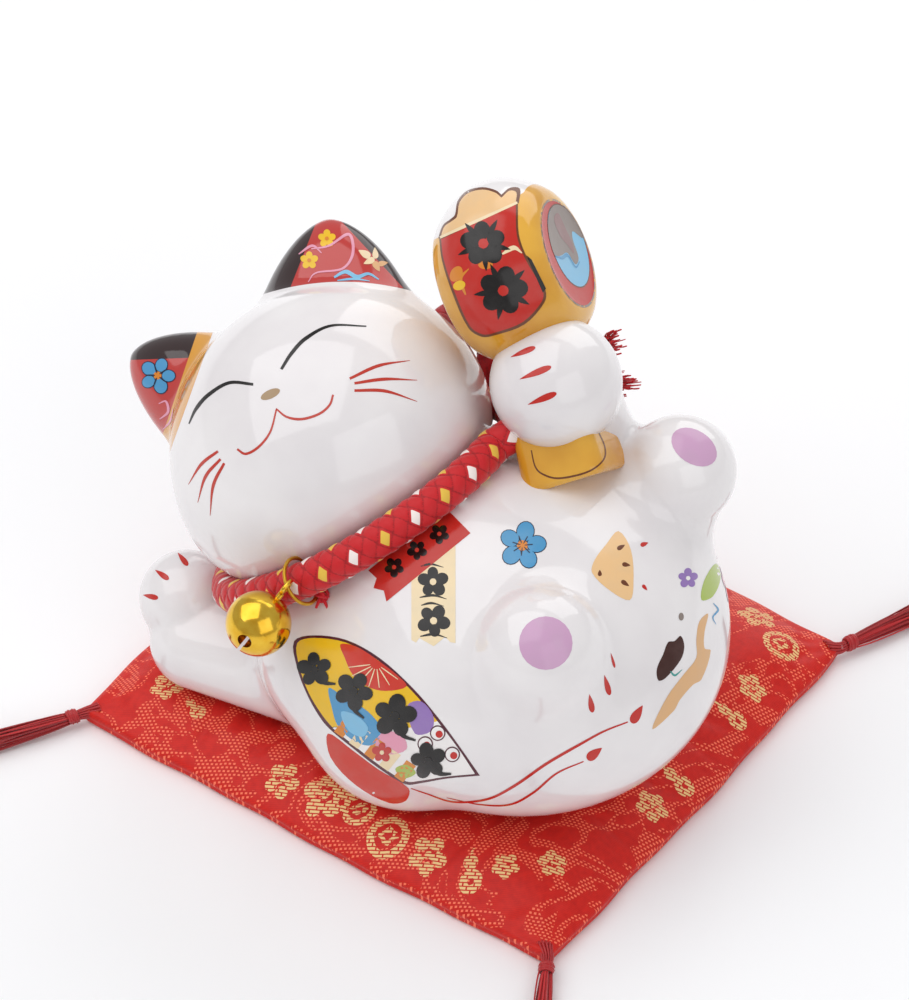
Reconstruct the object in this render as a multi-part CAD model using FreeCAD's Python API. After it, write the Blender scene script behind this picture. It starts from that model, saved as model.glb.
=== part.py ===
import FreeCAD, Part
import os
from math import sin, cos, pi, sqrt, radians

V = FreeCAD.Vector

# Driving dimensions, millimetres. Front is -Y, the head lies toward -X, origin under the cushion.
cushion_half = (52.3, 47.8)
cushion_edge_height = 3.0
cushion_top = 7.0
cover_thickness = 0.5
seam_height = 1.5

wall = 3.5
base_floor = 4.0
vent_diameter = 10.0

head_centre = V(-25.6, -11.4, 58.0)
head_lean = 40.0
head_roll = 54.0
torso_centre = V(17.4, -8.7, 35.0)

right_foot = (V(20, -11, 38), V(36.5, -28.1, 55), 14.0, 11.0)
left_foot = (V(21, 12, 40), V(34, 19, 60.5), 17.0, 10.2)
resting_leg = (V(-11, -25.4, 19.3), V(-37.5, -31.5, 16.8), 12.0, 9.3)
resting_paw = (V(-42.4, -28.5, 22.5), 9.0)
raised_leg = (V(14.3, 16.8, 61), V(14.7, 11.0, 77), 9.0, 9.0)
raised_paw = (V(13.2, 9.5, 78), 11.9)

barrel_centre = V(-2.9, 19.5, 88.9)
barrel_axis = V(0.755, 0.442, 0.485).normalize()
barrel_half_length = 10.9
barrel_radius = 17.3
barrel_end_radius = 12.5
handle_end = V(21.9, 4.0, 62.9)
handle_width = (11.0, 16.4)

neck_centre = V(-14.5, -9.0, 48.5)
neck_axis = V(-0.66, 0.0, 0.75).normalize()
cord_ring_radius = 29.2
cord_radius = 3.4
tie_angle = 15.0
tie_radius = 4.3
tie_wire = 0.35

bell_axis = V(0.25, 0.68, 0.69).normalize()
bell_drop = 8.3
bell_radius = 5.9
bell_wall = 0.4
loop_radius = 1.35
loop_wire = 0.42
pellet_radius = 1.6

tassel_knot_radius = 2.2
tassel_length = 27.0
tassel_headings = {"front_right": -59.0, "front_left": -122.0, "back_right": 68.0, "back_left": 133.0}


# Head directions: the head is rolled on its side and leans back.
def head_directions():
    be, ga = radians(head_lean), radians(head_roll)
    left = V(cos(ga), sin(ga) * cos(be), sin(ga) * sin(be))
    up = V(-sin(ga), cos(ga) * cos(be), cos(ga) * sin(be))
    front = V(0, -sin(be), cos(be))
    return left, up, front


left, up, front = head_directions()


# Implicit shapes, negative inside. Blending them gives the soft clay forms.
def ellipsoid(q, c, r):
    x, y, z = q.x - c[0], q.y - c[1], q.z - c[2]
    k0 = sqrt((x / r[0]) ** 2 + (y / r[1]) ** 2 + (z / r[2]) ** 2)
    k1 = sqrt((x / r[0] ** 2) ** 2 + (y / r[1] ** 2) ** 2 + (z / r[2] ** 2) ** 2)
    return k0 * (k0 - 1) / max(k1, 1e-9)


def blend(a, b, k):
    h = max(k - abs(a - b), 0) / k
    return min(a, b) - h ** 3 * k / 6


def head_form(p):
    d = p - head_centre
    q = V(d.dot(left), d.dot(up), d.dot(front))
    skull = ellipsoid(q, (3.0, 0.5, -2.5), (30.0, 26.8, 28.0))
    return blend(skull, ellipsoid(q, (1.5, -6, 2), (27.5, 20, 23.5)), 8)


def torso_form(p):
    d = ellipsoid(p, torso_centre, (39.5, 38.0, 31.0))
    d = blend(d, ellipsoid(p, (-5, -7.5, 41), (24.5, 24, 21.5)), 11)
    d = blend(d, ellipsoid(p, (-5.5, -28.5, 31), (16.5, 16.5, 17)), 9)
    d = blend(d, ellipsoid(p, (7.3, -31.6, 20.5), (17, 14.5, 14)), 9)
    return blend(d, ellipsoid(p, (27, 24, 17), (12, 8, 8)), 8)


# A closed solid whose skin follows form = level, sampled on rays from its centre.
def form_solid(form, centre, level, around=44, rows=26, reach=90.0):
    grid = []
    for j in range(rows + 1):
        th = pi * j / rows
        ring = []
        for i in range(around):
            ph = 2 * pi * i / around
            ray = V(sin(th) * cos(ph), sin(th) * sin(ph), cos(th))
            near, far = 0.0, reach
            for _ in range(22):
                mid = 0.5 * (near + far)
                if form(centre + ray * mid) < level:
                    near = mid
                else:
                    far = mid
            ring.append(centre + ray * near)
        grid.append(ring)
    for end in (0, -1):
        grid[end] = [grid[end][0]] * around
    poles = [[grid[j][i] for j in range(rows + 1)] for i in range(around)]
    skin = Part.BSplineSurface()
    inner = [1] * (rows - 3)
    skin.buildFromPolesMultsKnots(poles, [1] * (around + 1), [4] + inner + [4],
                                  [float(k) for k in range(around + 1)],
                                  [float(k) for k in range(rows - 1)], True, False, 3, 3)
    return Part.Solid(Part.Shell([skin.toShape()]))


def ball(c, r):
    return Part.makeSphere(r, c)


def capsule(a, b, ra, rb):
    axis = b - a
    cone = Part.makeCone(ra, rb, axis.Length, a, axis) if abs(ra - rb) > 1e-6 else \
        Part.makeCylinder(ra, axis.Length, a, axis)
    return cone.fuse(ball(a, ra)).fuse(ball(b, rb)).removeSplitter()


def above(z):
    return Part.makeBox(240, 240, 160, V(-120, -120, z))


def swept(points, radius):
    curve = Part.BSplineCurve()
    curve.interpolate(points)
    path = Part.Wire([curve.toShape()])
    start = curve.tangent(curve.FirstParameter)[0]
    disc = Part.Face(Part.Wire([Part.makeCircle(radius, points[0], start)]))
    return path.makePipe(disc)


def ear(base, tip, wide, deep):
    rings = []
    for t in (0.0, 0.2, 0.4, 0.6, 0.76, 0.88, 0.96, 0.99):
        grow = (1 - t ** 1.5) ** 0.6
        spot = base * (1 - t) + tip * t
        ring = Part.Ellipse(V(0, 0, 0), wide * grow, deep * grow).toShape()
        flip = FreeCAD.Rotation(left, front, (tip - base), "XZY")
        ring.Placement = FreeCAD.Placement(spot, flip)
        rings.append(Part.Wire([ring]))
    return Part.makeLoft(rings, True)


def in_head(x, y, z):
    return head_centre + left * x + up * y + front * z


parts = {}

# Cushion: a stuffed square, thin at the seam and pressed flat under the figurine.
def cushion_height(x, y, inset, drop):
    u, v = abs(x) / (cushion_half[0] - inset), abs(y) / (cushion_half[1] - inset)
    puff = (1 - min(u, 1) ** 6) * (1 - min(v, 1) ** 6)
    edge = cushion_edge_height - drop
    return min(cushion_top - drop, edge + 5.0 * puff)


def cushion_slab(inset, drop, floor):
    hx, hy = cushion_half[0] - inset, cushion_half[1] - inset
    n = 18
    poles = [[V(hx * (2 * i / n - 1), hy * (2 * j / n - 1),
                cushion_height(hx * (2 * i / n - 1), hy * (2 * j / n - 1), inset, drop))
              for j in range(n + 1)] for i in range(n + 1)]
    top = Part.BSplineSurface()
    mults, knots = [4] + [1] * (n - 3) + [4], [float(k) for k in range(n - 1)]
    top.buildFromPolesMultsKnots(poles, mults, mults, knots, knots, False, False, 3, 3)
    low = [V(-hx, -hy, floor), V(hx, -hy, floor), V(hx, hy, floor), V(-hx, hy, floor)]
    edge = cushion_edge_height - drop
    high = [V(p.x, p.y, edge) for p in low]
    faces = [top.toShape(), Part.Face(Part.makePolygon(low + low[:1]))]
    for k in range(4):
        m = (k + 1) % 4
        faces.append(Part.Face(Part.makePolygon([low[k], low[m], high[m], high[k], low[k]])))
    shell = Part.Shell(faces)
    shell.sewShape()
    solid = Part.Solid(shell)
    solid.fix(1e-4, 1e-4, 1e-3)
    return solid


filling = cushion_slab(cover_thickness, cover_thickness, cover_thickness)
covers = cushion_slab(0, 0, 0).cut(filling)
parts["cushion_filling"] = filling
parts["cushion_top_cover"] = covers.common(above(seam_height))
parts["cushion_bottom_cover"] = covers.cut(above(seam_height))

for name, heading in tassel_headings.items():
    sx = 1 if name.endswith("right") else -1
    sy = 1 if name.startswith("back") else -1
    corner = V(sx * cushion_half[0], sy * cushion_half[1], tassel_knot_radius + 0.05)
    out = V(cos(radians(heading)), sin(radians(heading)), 0)
    knot_centre = corner + out * (tassel_knot_radius + 0.35)
    knot = ball(knot_centre, tassel_knot_radius)
    rise = V(out.x, out.y, 0.03).normalize()
    skirt = Part.makeCone(1.1, 2.9, tassel_length, knot_centre, rise)
    parts["tassel_%s_knot" % name] = knot
    parts["tassel_%s_skirt" % name] = skirt.cut(knot)

# Ceramic figurine: slip-cast hollow body and head, with the limbs and the mallet luted on.
torso = form_solid(torso_form, torso_centre - V(6, 3, 0), 0.0).common(above(cushion_top))
torso_hollow = form_solid(torso_form, torso_centre - V(6, 3, 0), -wall).common(above(cushion_top + base_floor))
vent = Part.makeCylinder(vent_diameter / 2, base_floor + 2, V(17, -9, cushion_top - 1))
neck_bore = Part.makeCylinder(4.0, 40, V(-6, -9, 40), V(-0.66, 0, 0.75))
parts["body_casting"] = torso.cut(torso_hollow).cut(vent).cut(neck_bore)

skull_centre = in_head(2, -1, -1)
skull = form_solid(head_form, skull_centre, 0.0)
skull_hollow = form_solid(head_form, skull_centre, -wall)
right_ear = ear(in_head(-10.7, 13.7, 0), in_head(-23.8, 32.4, 2.0), 12.9, 9.0)
left_ear = ear(in_head(12.3, 15.5, 0), in_head(20.6, 35.7, 1.5), 16.0, 9.5)
head_outer = skull.fuse(right_ear).fuse(left_ear).removeSplitter()
parts["head_casting"] = head_outer.cut(skull_hollow).cut(torso)

parts["right_hind_leg"] = capsule(*right_foot).cut(torso)
left_hind = capsule(*left_foot)
parts["left_hind_leg"] = left_hind.cut(torso)
parts["resting_foreleg"] = capsule(*resting_leg).fuse(ball(*resting_paw)).cut(torso).common(above(cushion_top))

# Mallet: a waisted barrel across the head of a square flared handle.
barrel_top = (handle_end - barrel_centre).normalize()


def barrel_solid(shrink):
    rings = []
    for t in (-1.0, -0.75, -0.4, 0.0, 0.4, 0.75, 1.0):
        half = barrel_half_length - shrink
        radius = barrel_radius - (barrel_radius - barrel_end_radius) * t * t - shrink
        rings.append(Part.Wire([Part.makeCircle(radius, barrel_centre + barrel_axis * (half * t), barrel_axis)]))
    return Part.makeLoft(rings, True)


barrel = barrel_solid(0)
handle_rings = []
for t, w in ((0.0, handle_width[0]), (1.0, handle_width[1])):
    spot = barrel_centre * (1 - t) + handle_end * t
    across = (barrel_axis - barrel_top * barrel_axis.dot(barrel_top)).normalize()
    other = barrel_top.cross(across)
    square = [spot + across * (a * w / 2) + other * (b * w / 2) for a, b in ((-1, -1), (1, -1), (1, 1), (-1, 1))]
    handle_rings.append(Part.makePolygon(square + square[:1]))
handle_bar = Part.makeLoft(handle_rings, True)
handle = handle_bar.cut(barrel).cut(torso).cut(left_hind)
mallet_vent = Part.makeCylinder(1.5, 30, barrel_centre, barrel_top)
parts["mallet_barrel"] = barrel.cut(barrel_solid(wall)).cut(mallet_vent)
parts["mallet_handle"] = handle
raised = capsule(*raised_leg).fuse(ball(*raised_paw))
parts["raised_foreleg"] = raised.cut(torso).cut(left_hind).cut(barrel).cut(handle_bar)

# Collar cord round the neck, its knot behind the cheek and two frayed ends.
ring_start = V(0, -1, 0)
ring_side = ring_start.cross(neck_axis)
ring_side = ring_side if ring_side.z > 0 else ring_side * -1


def ring_point(angle):
    a = radians(angle)
    return neck_centre + (ring_start * cos(a) + ring_side * sin(a)) * cord_ring_radius


cord = Part.makeTorus(cord_ring_radius, cord_radius, neck_centre, neck_axis)
collar = cord.cut(head_outer).cut(torso).cut(parts["left_hind_leg"])
parts["collar_cord"] = max(collar.Solids, key=lambda s: s.Volume)
knot = capsule(V(-10.5, 23.0, 54.5), V(-15.5, 22.5, 65.5), 4.6, 4.2).cut(cord).cut(head_outer).cut(torso)
parts["collar_knot"] = max(knot.Solids, key=lambda s: s.Volume)
tail_a = swept([V(-9.0, 26.0, 58.5), V(1.5, 31.5, 62.0), V(10.5, 29.5, 71.0)], 1.6)
tail_b = swept([V(-8.0, 26.5, 53.0), V(3.0, 32.0, 54.0), V(13.0, 30.0, 62.0)], 1.6)
for label, tail in (("collar_tail_upper", tail_a), ("collar_tail_lower", tail_b)):
    trimmed = tail.cut(parts["collar_knot"]).cut(cord).cut(raised).cut(torso)
    parts[label] = max(trimmed.Solids, key=lambda s: s.Volume)

# Jingle bell: two pressed half shells round a loose pellet, hung by a wire loop on the tie.
toward = V(0.418, -0.585, 0.695)
tie_point = ring_point(tie_angle)
step = radians(tie_angle)
tangent = (ring_side * cos(step) - ring_start * sin(step)).normalize()
outward = (toward - tangent * toward.dot(tangent)).normalize()
tie_centre = tie_point + outward * 0.6
tie = Part.makeTorus(tie_radius, tie_wire, tie_centre, tangent)
loose = tie.cut(head_outer).cut(cord)
parts["bell_tie_thread"] = max(loose.Solids, key=lambda s: s.Volume)
loop_centre = tie_centre + outward * (tie_radius + tie_wire)
bell_centre = loop_centre - bell_axis * bell_drop
swing_axis = tangent.cross(outward).normalize()
loop_normal = (swing_axis - bell_axis * swing_axis.dot(bell_axis)).normalize()
loop_ring = Part.makeTorus(loop_radius, loop_wire, loop_centre, loop_normal)
stem = Part.makeCylinder(0.55, bell_drop - loop_radius - bell_radius + 0.4,
                         bell_centre + bell_axis * (bell_radius - 0.4), bell_axis)
bell_outer = ball(bell_centre, bell_radius)
parts["bell_loop"] = loop_ring.fuse(stem).cut(bell_outer)

skin = bell_outer.cut(ball(bell_centre, bell_radius - bell_wall))
side_a = (toward - bell_axis * toward.dot(bell_axis)).normalize()
side_b = bell_axis.cross(side_a)
upper_half = Part.makeCylinder(bell_radius + 1, bell_radius + 1, bell_centre, bell_axis)
lower = skin.cut(upper_half)
for arm in (side_a, side_b):
    slot = Part.makeBox(2 * 4.9, 0.6, 4.0)
    slot.Placement = FreeCAD.Placement(V(0, 0, 0), FreeCAD.Rotation(arm, bell_axis.cross(arm), bell_axis, "XZY"))
    centre_line = arm * 4.9 + bell_axis.cross(arm) * 0.3
    slot.translate(bell_centre - bell_axis * (bell_radius + 0.5) - centre_line)
    lower = lower.cut(slot)
    for sign in (-1, 1):
        direction = (arm * (sign * sin(radians(59))) - bell_axis * cos(radians(59)))
        lower = lower.cut(Part.makeCylinder(1.35, 4, bell_centre + direction * 3.5, direction))
parts["bell_upper_shell"] = skin.common(upper_half)
parts["bell_lower_shell"] = max(lower.Solids, key=lambda s: s.Volume)
parts["bell_pellet"] = ball(bell_centre - V(0, 0, bell_radius - bell_wall - pellet_radius - 0.3), pellet_radius)

os.makedirs("parts", exist_ok=True)
for name, shape in sorted(parts.items()):
    shape.exportStep("parts/%s.step" % name)
    box = shape.BoundBox
    print("%-26s solids %d valid %s vol %9.1f  x %6.1f %6.1f  y %6.1f %6.1f  z %5.1f %5.1f" % (
        name, len(shape.Solids), shape.isValid(), shape.Volume,
        box.XMin, box.XMax, box.YMin, box.YMax, box.ZMin, box.ZMax))
for name, spot in (("tie point", tie_point), ("tangent", tangent), ("outward", outward), ("loop centre", loop_centre),
                   ("bell centre", bell_centre), ("swing axis", swing_axis)):
    print("%-12s %.3f %.3f %.3f" % (name, spot.x, spot.y, spot.z))
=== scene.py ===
import math
import random
import bpy
import numpy as np
from mathutils import Vector, Matrix
from mathutils.bvhtree import BVHTree
from mathutils.geometry import delaunay_2d_cdt


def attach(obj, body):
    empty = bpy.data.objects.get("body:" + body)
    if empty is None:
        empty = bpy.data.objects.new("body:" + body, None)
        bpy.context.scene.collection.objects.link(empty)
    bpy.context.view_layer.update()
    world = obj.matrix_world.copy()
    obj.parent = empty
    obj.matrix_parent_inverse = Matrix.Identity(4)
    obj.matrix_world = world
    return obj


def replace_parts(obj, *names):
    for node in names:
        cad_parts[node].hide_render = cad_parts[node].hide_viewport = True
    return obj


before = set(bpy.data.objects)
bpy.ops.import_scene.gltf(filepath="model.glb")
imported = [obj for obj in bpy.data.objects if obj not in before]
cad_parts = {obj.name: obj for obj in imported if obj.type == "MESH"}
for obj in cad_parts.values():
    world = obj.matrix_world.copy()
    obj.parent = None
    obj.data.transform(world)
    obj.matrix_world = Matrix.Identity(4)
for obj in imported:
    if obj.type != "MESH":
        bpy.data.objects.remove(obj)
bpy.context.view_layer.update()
mm = 0.001
random.seed(7)
print("frame loaded")

# small helpers


def unit(v):
    v = np.array(v, float)
    return v / np.linalg.norm(v)


def hexLinear(text):  # sRGB hex to linear
    values = [int(text[k:k + 2], 16) / 255 for k in (1, 3, 5)]
    return tuple(v / 12.92 if v <= 0.04045 else ((v + 0.055) / 1.055) ** 2.4 for v in values) + (1.0,)


def addNode(mat, kind, inputs=None, stops=(), **settings):  # a node with its settings, values, links, ramp colours
    made = mat.node_tree.nodes.new("ShaderNode" + kind)
    for key, value in settings.items():
        setattr(made, key, value)
    for key, value in (inputs or {}).items():
        if isinstance(value, bpy.types.Node):
            value = value.outputs[0]
        if isinstance(value, bpy.types.NodeSocket):
            mat.node_tree.links.new(value, made.inputs[key])
        else:
            made.inputs[key].default_value = value
    for n, (spot, colour) in enumerate(stops):
        element = made.color_ramp.elements[n]
        element.position, element.color = spot, hexLinear(colour)
    return made


def newMaterial(name):  # an empty material, and the place on the piece for patterns at real size
    mat = bpy.data.materials.new(name)
    mat.use_nodes = True
    mat.node_tree.nodes.clear()
    return mat, addNode(mat, "TexCoord").outputs["Object"]


def finishMaterial(mat, values):  # closes a material with one principled shader
    addNode(mat, "OutputMaterial", {"Surface": addNode(mat, "BsdfPrincipled", values)})
    return mat


def addObject(name, data):
    made = bpy.data.objects.new(name, data)
    bpy.context.scene.collection.objects.link(made)
    return made


def newMesh(name, points, faces):
    mesh = bpy.data.meshes.new(name)
    mesh.from_pydata([tuple(p) for p in points], [], [tuple(int(i) for i in f) for f in faces])
    return mesh


def meshPiece(name, points, faces, materials, body):  # points in mm
    mesh = newMesh(name, np.asarray(points, float) * mm, faces)
    mesh.update()
    mesh.polygons.foreach_set("use_smooth", [True] * len(mesh.polygons))
    for material in materials:
        mesh.materials.append(material)
    piece = addObject(name, mesh)
    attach(piece, body)
    return piece


def paintFaces(piece, indices):
    piece.data.polygons.foreach_set("material_index", [int(i) for i in indices])


def floatAttribute(piece, name, values):
    layer = piece.data.attributes.new(name, "FLOAT", "POINT")
    layer.data.foreach_set("value", np.asarray(values, np.float32))


# camera, light and floor

view = {
    "target": (-31.04, 40.26, 0.0),  # mm
    "distance": 1200.0,
    "azimuth": 35.56,
    "elevation": 44.0,
    "lens": 224.03, "sensor": 36.0,
}
azimuth, elevation = math.radians(view["azimuth"]), math.radians(view["elevation"])
sideways = np.array([math.cos(azimuth), math.sin(azimuth), 0.0])
backward = np.array([math.sin(azimuth) * math.cos(elevation), -math.cos(azimuth) * math.cos(elevation),
                     math.sin(elevation)])
upward = np.cross(backward, sideways)
eye = np.array(view["target"]) + backward * view["distance"]

cameraData = bpy.data.cameras.new("camera")
cameraData.lens, cameraData.sensor_width = view["lens"], view["sensor"]
cameraData.clip_start, cameraData.clip_end = 0.05, 20.0
camera = addObject("camera", cameraData)
axes = Matrix([list(sideways), list(upward), list(backward)]).transposed().to_4x4()
camera.matrix_world = Matrix.Translation(Vector(eye * mm)) @ axes
bpy.context.scene.camera = camera

world = bpy.data.worlds.new("studio")
world.use_nodes = True
sky = world.node_tree.nodes["Background"].inputs
sky["Color"].default_value, sky["Strength"].default_value = hexLinear("#F7F8FA"), 0.55
bpy.context.scene.world = world
bpy.context.scene.view_settings.view_transform = "Standard"  # plain sRGB, so enamel colours stay as mixed

softboxes = {  # place, size in metres, watts
    "keySoftbox": ((-0.45, -0.25, 1.05), 1.30, 7.0),
    "sideSoftbox": ((0.75, -0.35, 0.55), 0.80, 1.6),
    "backSoftbox": ((-0.15, 0.80, 0.60), 0.80, 2.6),
}
lightAim = Vector((0.0, 0.0, 0.03))
for name, (place, size, watts) in softboxes.items():
    lamp = bpy.data.lights.new(name, "AREA")
    lamp.size, lamp.energy = size, watts
    holder = addObject(name, lamp)
    holder.location = place
    holder.rotation_euler = (lightAim - Vector(place)).to_track_quat("-Z", "Y").to_euler()


floorMesh = newMesh("floor", [(-4, -4, 0), (4, -4, 0), (4, 4, 0), (-4, 4, 0)], [(0, 1, 2, 3)])
floorMesh.materials.append(finishMaterial(newMaterial("matt white backdrop paper")[0], {
    "Base Color": hexLinear("#FBFBFC"), "Roughness": 0.9, "Specular IOR Level": 0.1}))
addObject("floor", floorMesh)
print("camera, light and floor")

# finishes


def glazeMaterial(name, colour, deeper, zones=()):
    # fired glossy glaze over clay: clear wet highlights, a faint orange peel, colour a touch deeper where it pools
    mat, place = newMaterial(name)
    pool = addNode(mat, "TexNoise", {"Vector": place, "Scale": 55.0, "Detail": 3.0})
    peel = addNode(mat, "TexNoise", {"Vector": place, "Scale": 420.0, "Detail": 2.0})
    tint = addNode(mat, "ValToRGB", {"Fac": pool}, [(0.35, deeper), (0.62, colour)]).outputs["Color"]
    for field, paint in zones:  # painted where the field is above zero
        level = addNode(mat, "Attribute", attribute_name=field).outputs["Fac"]
        edge = addNode(mat, "MapRange", {"Value": level, "From Min": -0.04, "From Max": 0.04})
        tint = addNode(mat, "Mix", {"Factor": edge, "A": tint, "B": hexLinear(paint)}, data_type="RGBA").outputs[2]
    return finishMaterial(mat, {
        "Base Color": tint, "Roughness": 0.09, "IOR": 1.52, "Coat Weight": 0.35, "Coat Roughness": 0.04,
        "Normal": addNode(mat, "Bump", {"Height": peel, "Strength": 0.012, "Distance": 0.0006})})


whiteGlaze = glazeMaterial("white tin glaze on slip-cast clay", "#F0ECEC", "#E8E3E4")
goldGlaze = glazeMaterial("amber glaze on slip-cast clay", "#E9B03C", "#D29024")
headGlaze = glazeMaterial("white tin glaze with painted ears", "#F0ECEC", "#E8E3E4", [
    ("earDark", "#2B1414"), ("earRed", "#BE3530"), ("earOchre", "#DB9A36")])
barrelGlaze = glazeMaterial("amber glaze with a white crown", "#E9B03C", "#D29024", [("crown", "#F0ECEC")])


def bisqueClay():  # bare fired clay where the kiln shelf touched it: matt, chalky
    mat, place = newMaterial("unglazed bisque clay")
    grit = addNode(mat, "TexNoise", {"Vector": place, "Scale": 1800.0, "Detail": 4.0})
    return finishMaterial(mat, {
        "Base Color": addNode(mat, "ValToRGB", {"Fac": grit}, [(0.3, "#CFC3B4"), (0.7, "#E4DACC")]),
        "Roughness": 0.85, "IOR": 1.5,
        "Normal": addNode(mat, "Bump", {"Height": grit, "Strength": 0.25, "Distance": 0.0003})})


bareClay = bisqueClay()

# ceramic forms: implicit shapes in mm, negative inside

headPose = {"centre": (-25.6, -11.4, 58.0), "lean": 40.0, "roll": 54.0}
be, ga = math.radians(headPose["lean"]), math.radians(headPose["roll"])
headAxes = np.array([
    [math.cos(ga), math.sin(ga) * math.cos(be), math.sin(ga) * math.sin(be)],  # toward the figure's left ear
    [-math.sin(ga), math.cos(ga) * math.cos(be), math.cos(ga) * math.sin(be)],  # toward the crown
    [0.0, -math.sin(be), math.cos(be)],  # out of the face
])
headCentre = np.array(headPose["centre"])


def ellipsoid(p, c, r):
    q = p - np.array(c, float)
    r = np.array(r, float)
    k0 = np.linalg.norm(q / r, axis=-1)
    k1 = np.linalg.norm(q / r ** 2, axis=-1)
    return k0 * (k0 - 1) / np.maximum(k1, 1e-9)


def capsule(p, a, b, ra, rb):
    a, b = np.array(a, float), np.array(b, float)
    ab = b - a
    t = np.clip(((p - a) @ ab) / (ab @ ab), 0, 1)
    return np.linalg.norm(p - a - t[..., None] * ab, axis=-1) - (ra + (rb - ra) * t)


def blend(a, b, k):
    h = np.maximum(k - np.abs(a - b), 0) / k
    return np.minimum(a, b) - h ** 3 * k / 6


ears = {  # base, tip, half width and half depth at the base, mm in the head's directions
    "right": ((-10.7, 13.7, 0.0), (-23.8, 32.4, 2.0), 12.9, 9.0),
    "left": ((12.3, 15.5, 0.0), (20.6, 35.7, 1.5), 16.0, 9.5),
}


def earForm(q, base, tip, wide, deep):  # a leaf: round at the tip, swelling toward the crown
    base, tip = np.array(base, float), np.array(tip, float)
    rise = unit(tip - base)
    across = unit(np.array([1.0, 0, 0]) - rise * rise[0])
    depth = np.cross(rise, across)
    length = np.linalg.norm(tip - base)
    v = q - base
    h, a, d = v @ rise, v @ across, v @ depth
    spread = ((a / wide) ** 2 + (d / deep) ** 2) ** (1 / 1.2)
    shape = (spread + np.sign(h) * np.abs(h / length) ** 1.5 * (h > 0) - 1) * deep * 0.7
    return np.maximum(shape, -h - 6)


def headForm(p):
    q = (p - headCentre) @ headAxes.T
    d = ellipsoid(q, (3.0, 0.5, -2.5), (30.0, 26.8, 28.0))
    d = blend(d, ellipsoid(q, (1.5, -6, 2), (27.5, 20, 23.5)), 8)
    for base, tip, wide, deep in ears.values():
        d = blend(d, earForm(q, base, tip, wide, deep), 4)
    return d


rightFoot, leftFoot = np.array([36.5, -28.1, 55.0]), np.array([34.0, 19.0, 60.5])
raisedPaw, restingPaw = np.array([13.2, 9.5, 78.0]), np.array([-42.4, -28.5, 22.5])
baseHeight = 7.0  # the cushion's flattened top
casting = {"wall": 3.5, "floor": 4.0, "vent": (17.0, -9.0), "ventRadius": 5.0}


def torsoForm(p):
    d = ellipsoid(p, (17.4, -8.7, 35.0), (39.5, 38.0, 31.0))
    d = blend(d, ellipsoid(p, (-5, -7.5, 41), (24.5, 24, 21.5)), 11)
    d = blend(d, ellipsoid(p, (-5.5, -28.5, 31), (16.5, 16.5, 17)), 9)
    d = blend(d, ellipsoid(p, (7.3, -31.6, 20.5), (17, 14.5, 14)), 9)
    return blend(d, ellipsoid(p, (27, 24, 17), (12, 8, 8)), 8)


def bodyForm(p):
    torso = torsoForm(p)
    d = blend(torso, capsule(p, (20, -11, 38), rightFoot, 14, 11.0), 8)
    d = blend(d, capsule(p, (21, 12, 40), leftFoot, 17, 10.2), 8)
    d = blend(d, capsule(p, (-11, -25.4, 19.3), (-37.5, -31.5, 16.8), 12.0, 9.3), 8)
    d = blend(d, capsule(p, (14.3, 16.8, 61), (14.7, 11.0, 77), 9.0, 9.0), 7)
    d = blend(d, ellipsoid(p, restingPaw, (9.0, 9.0, 9.0)), 1.2)
    d = blend(d, ellipsoid(p, raisedPaw, (11.9, 11.9, 11.9)), 1.2)
    d = np.maximum(d, baseHeight - p[..., 2])
    hollow = np.maximum(torso + casting["wall"], baseHeight + casting["floor"] - p[..., 2])
    vent = np.hypot(p[..., 0] - casting["vent"][0], p[..., 1] - casting["vent"][1]) - casting["ventRadius"]
    vent = np.maximum(vent, p[..., 2] - (baseHeight + casting["floor"] + 1))
    return np.maximum(d, -np.minimum(hollow, vent))


def slopeOf(form, points):  # rise of a form over 0.1 mm along each axis
    return np.stack([form(points + e) - form(points - e) for e in np.eye(3) * 0.05], 1)


def outwardOf(form, points):
    slope = slopeOf(form, points)
    return slope / np.maximum(np.linalg.norm(slope, axis=1, keepdims=True), 1e-9)


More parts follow.
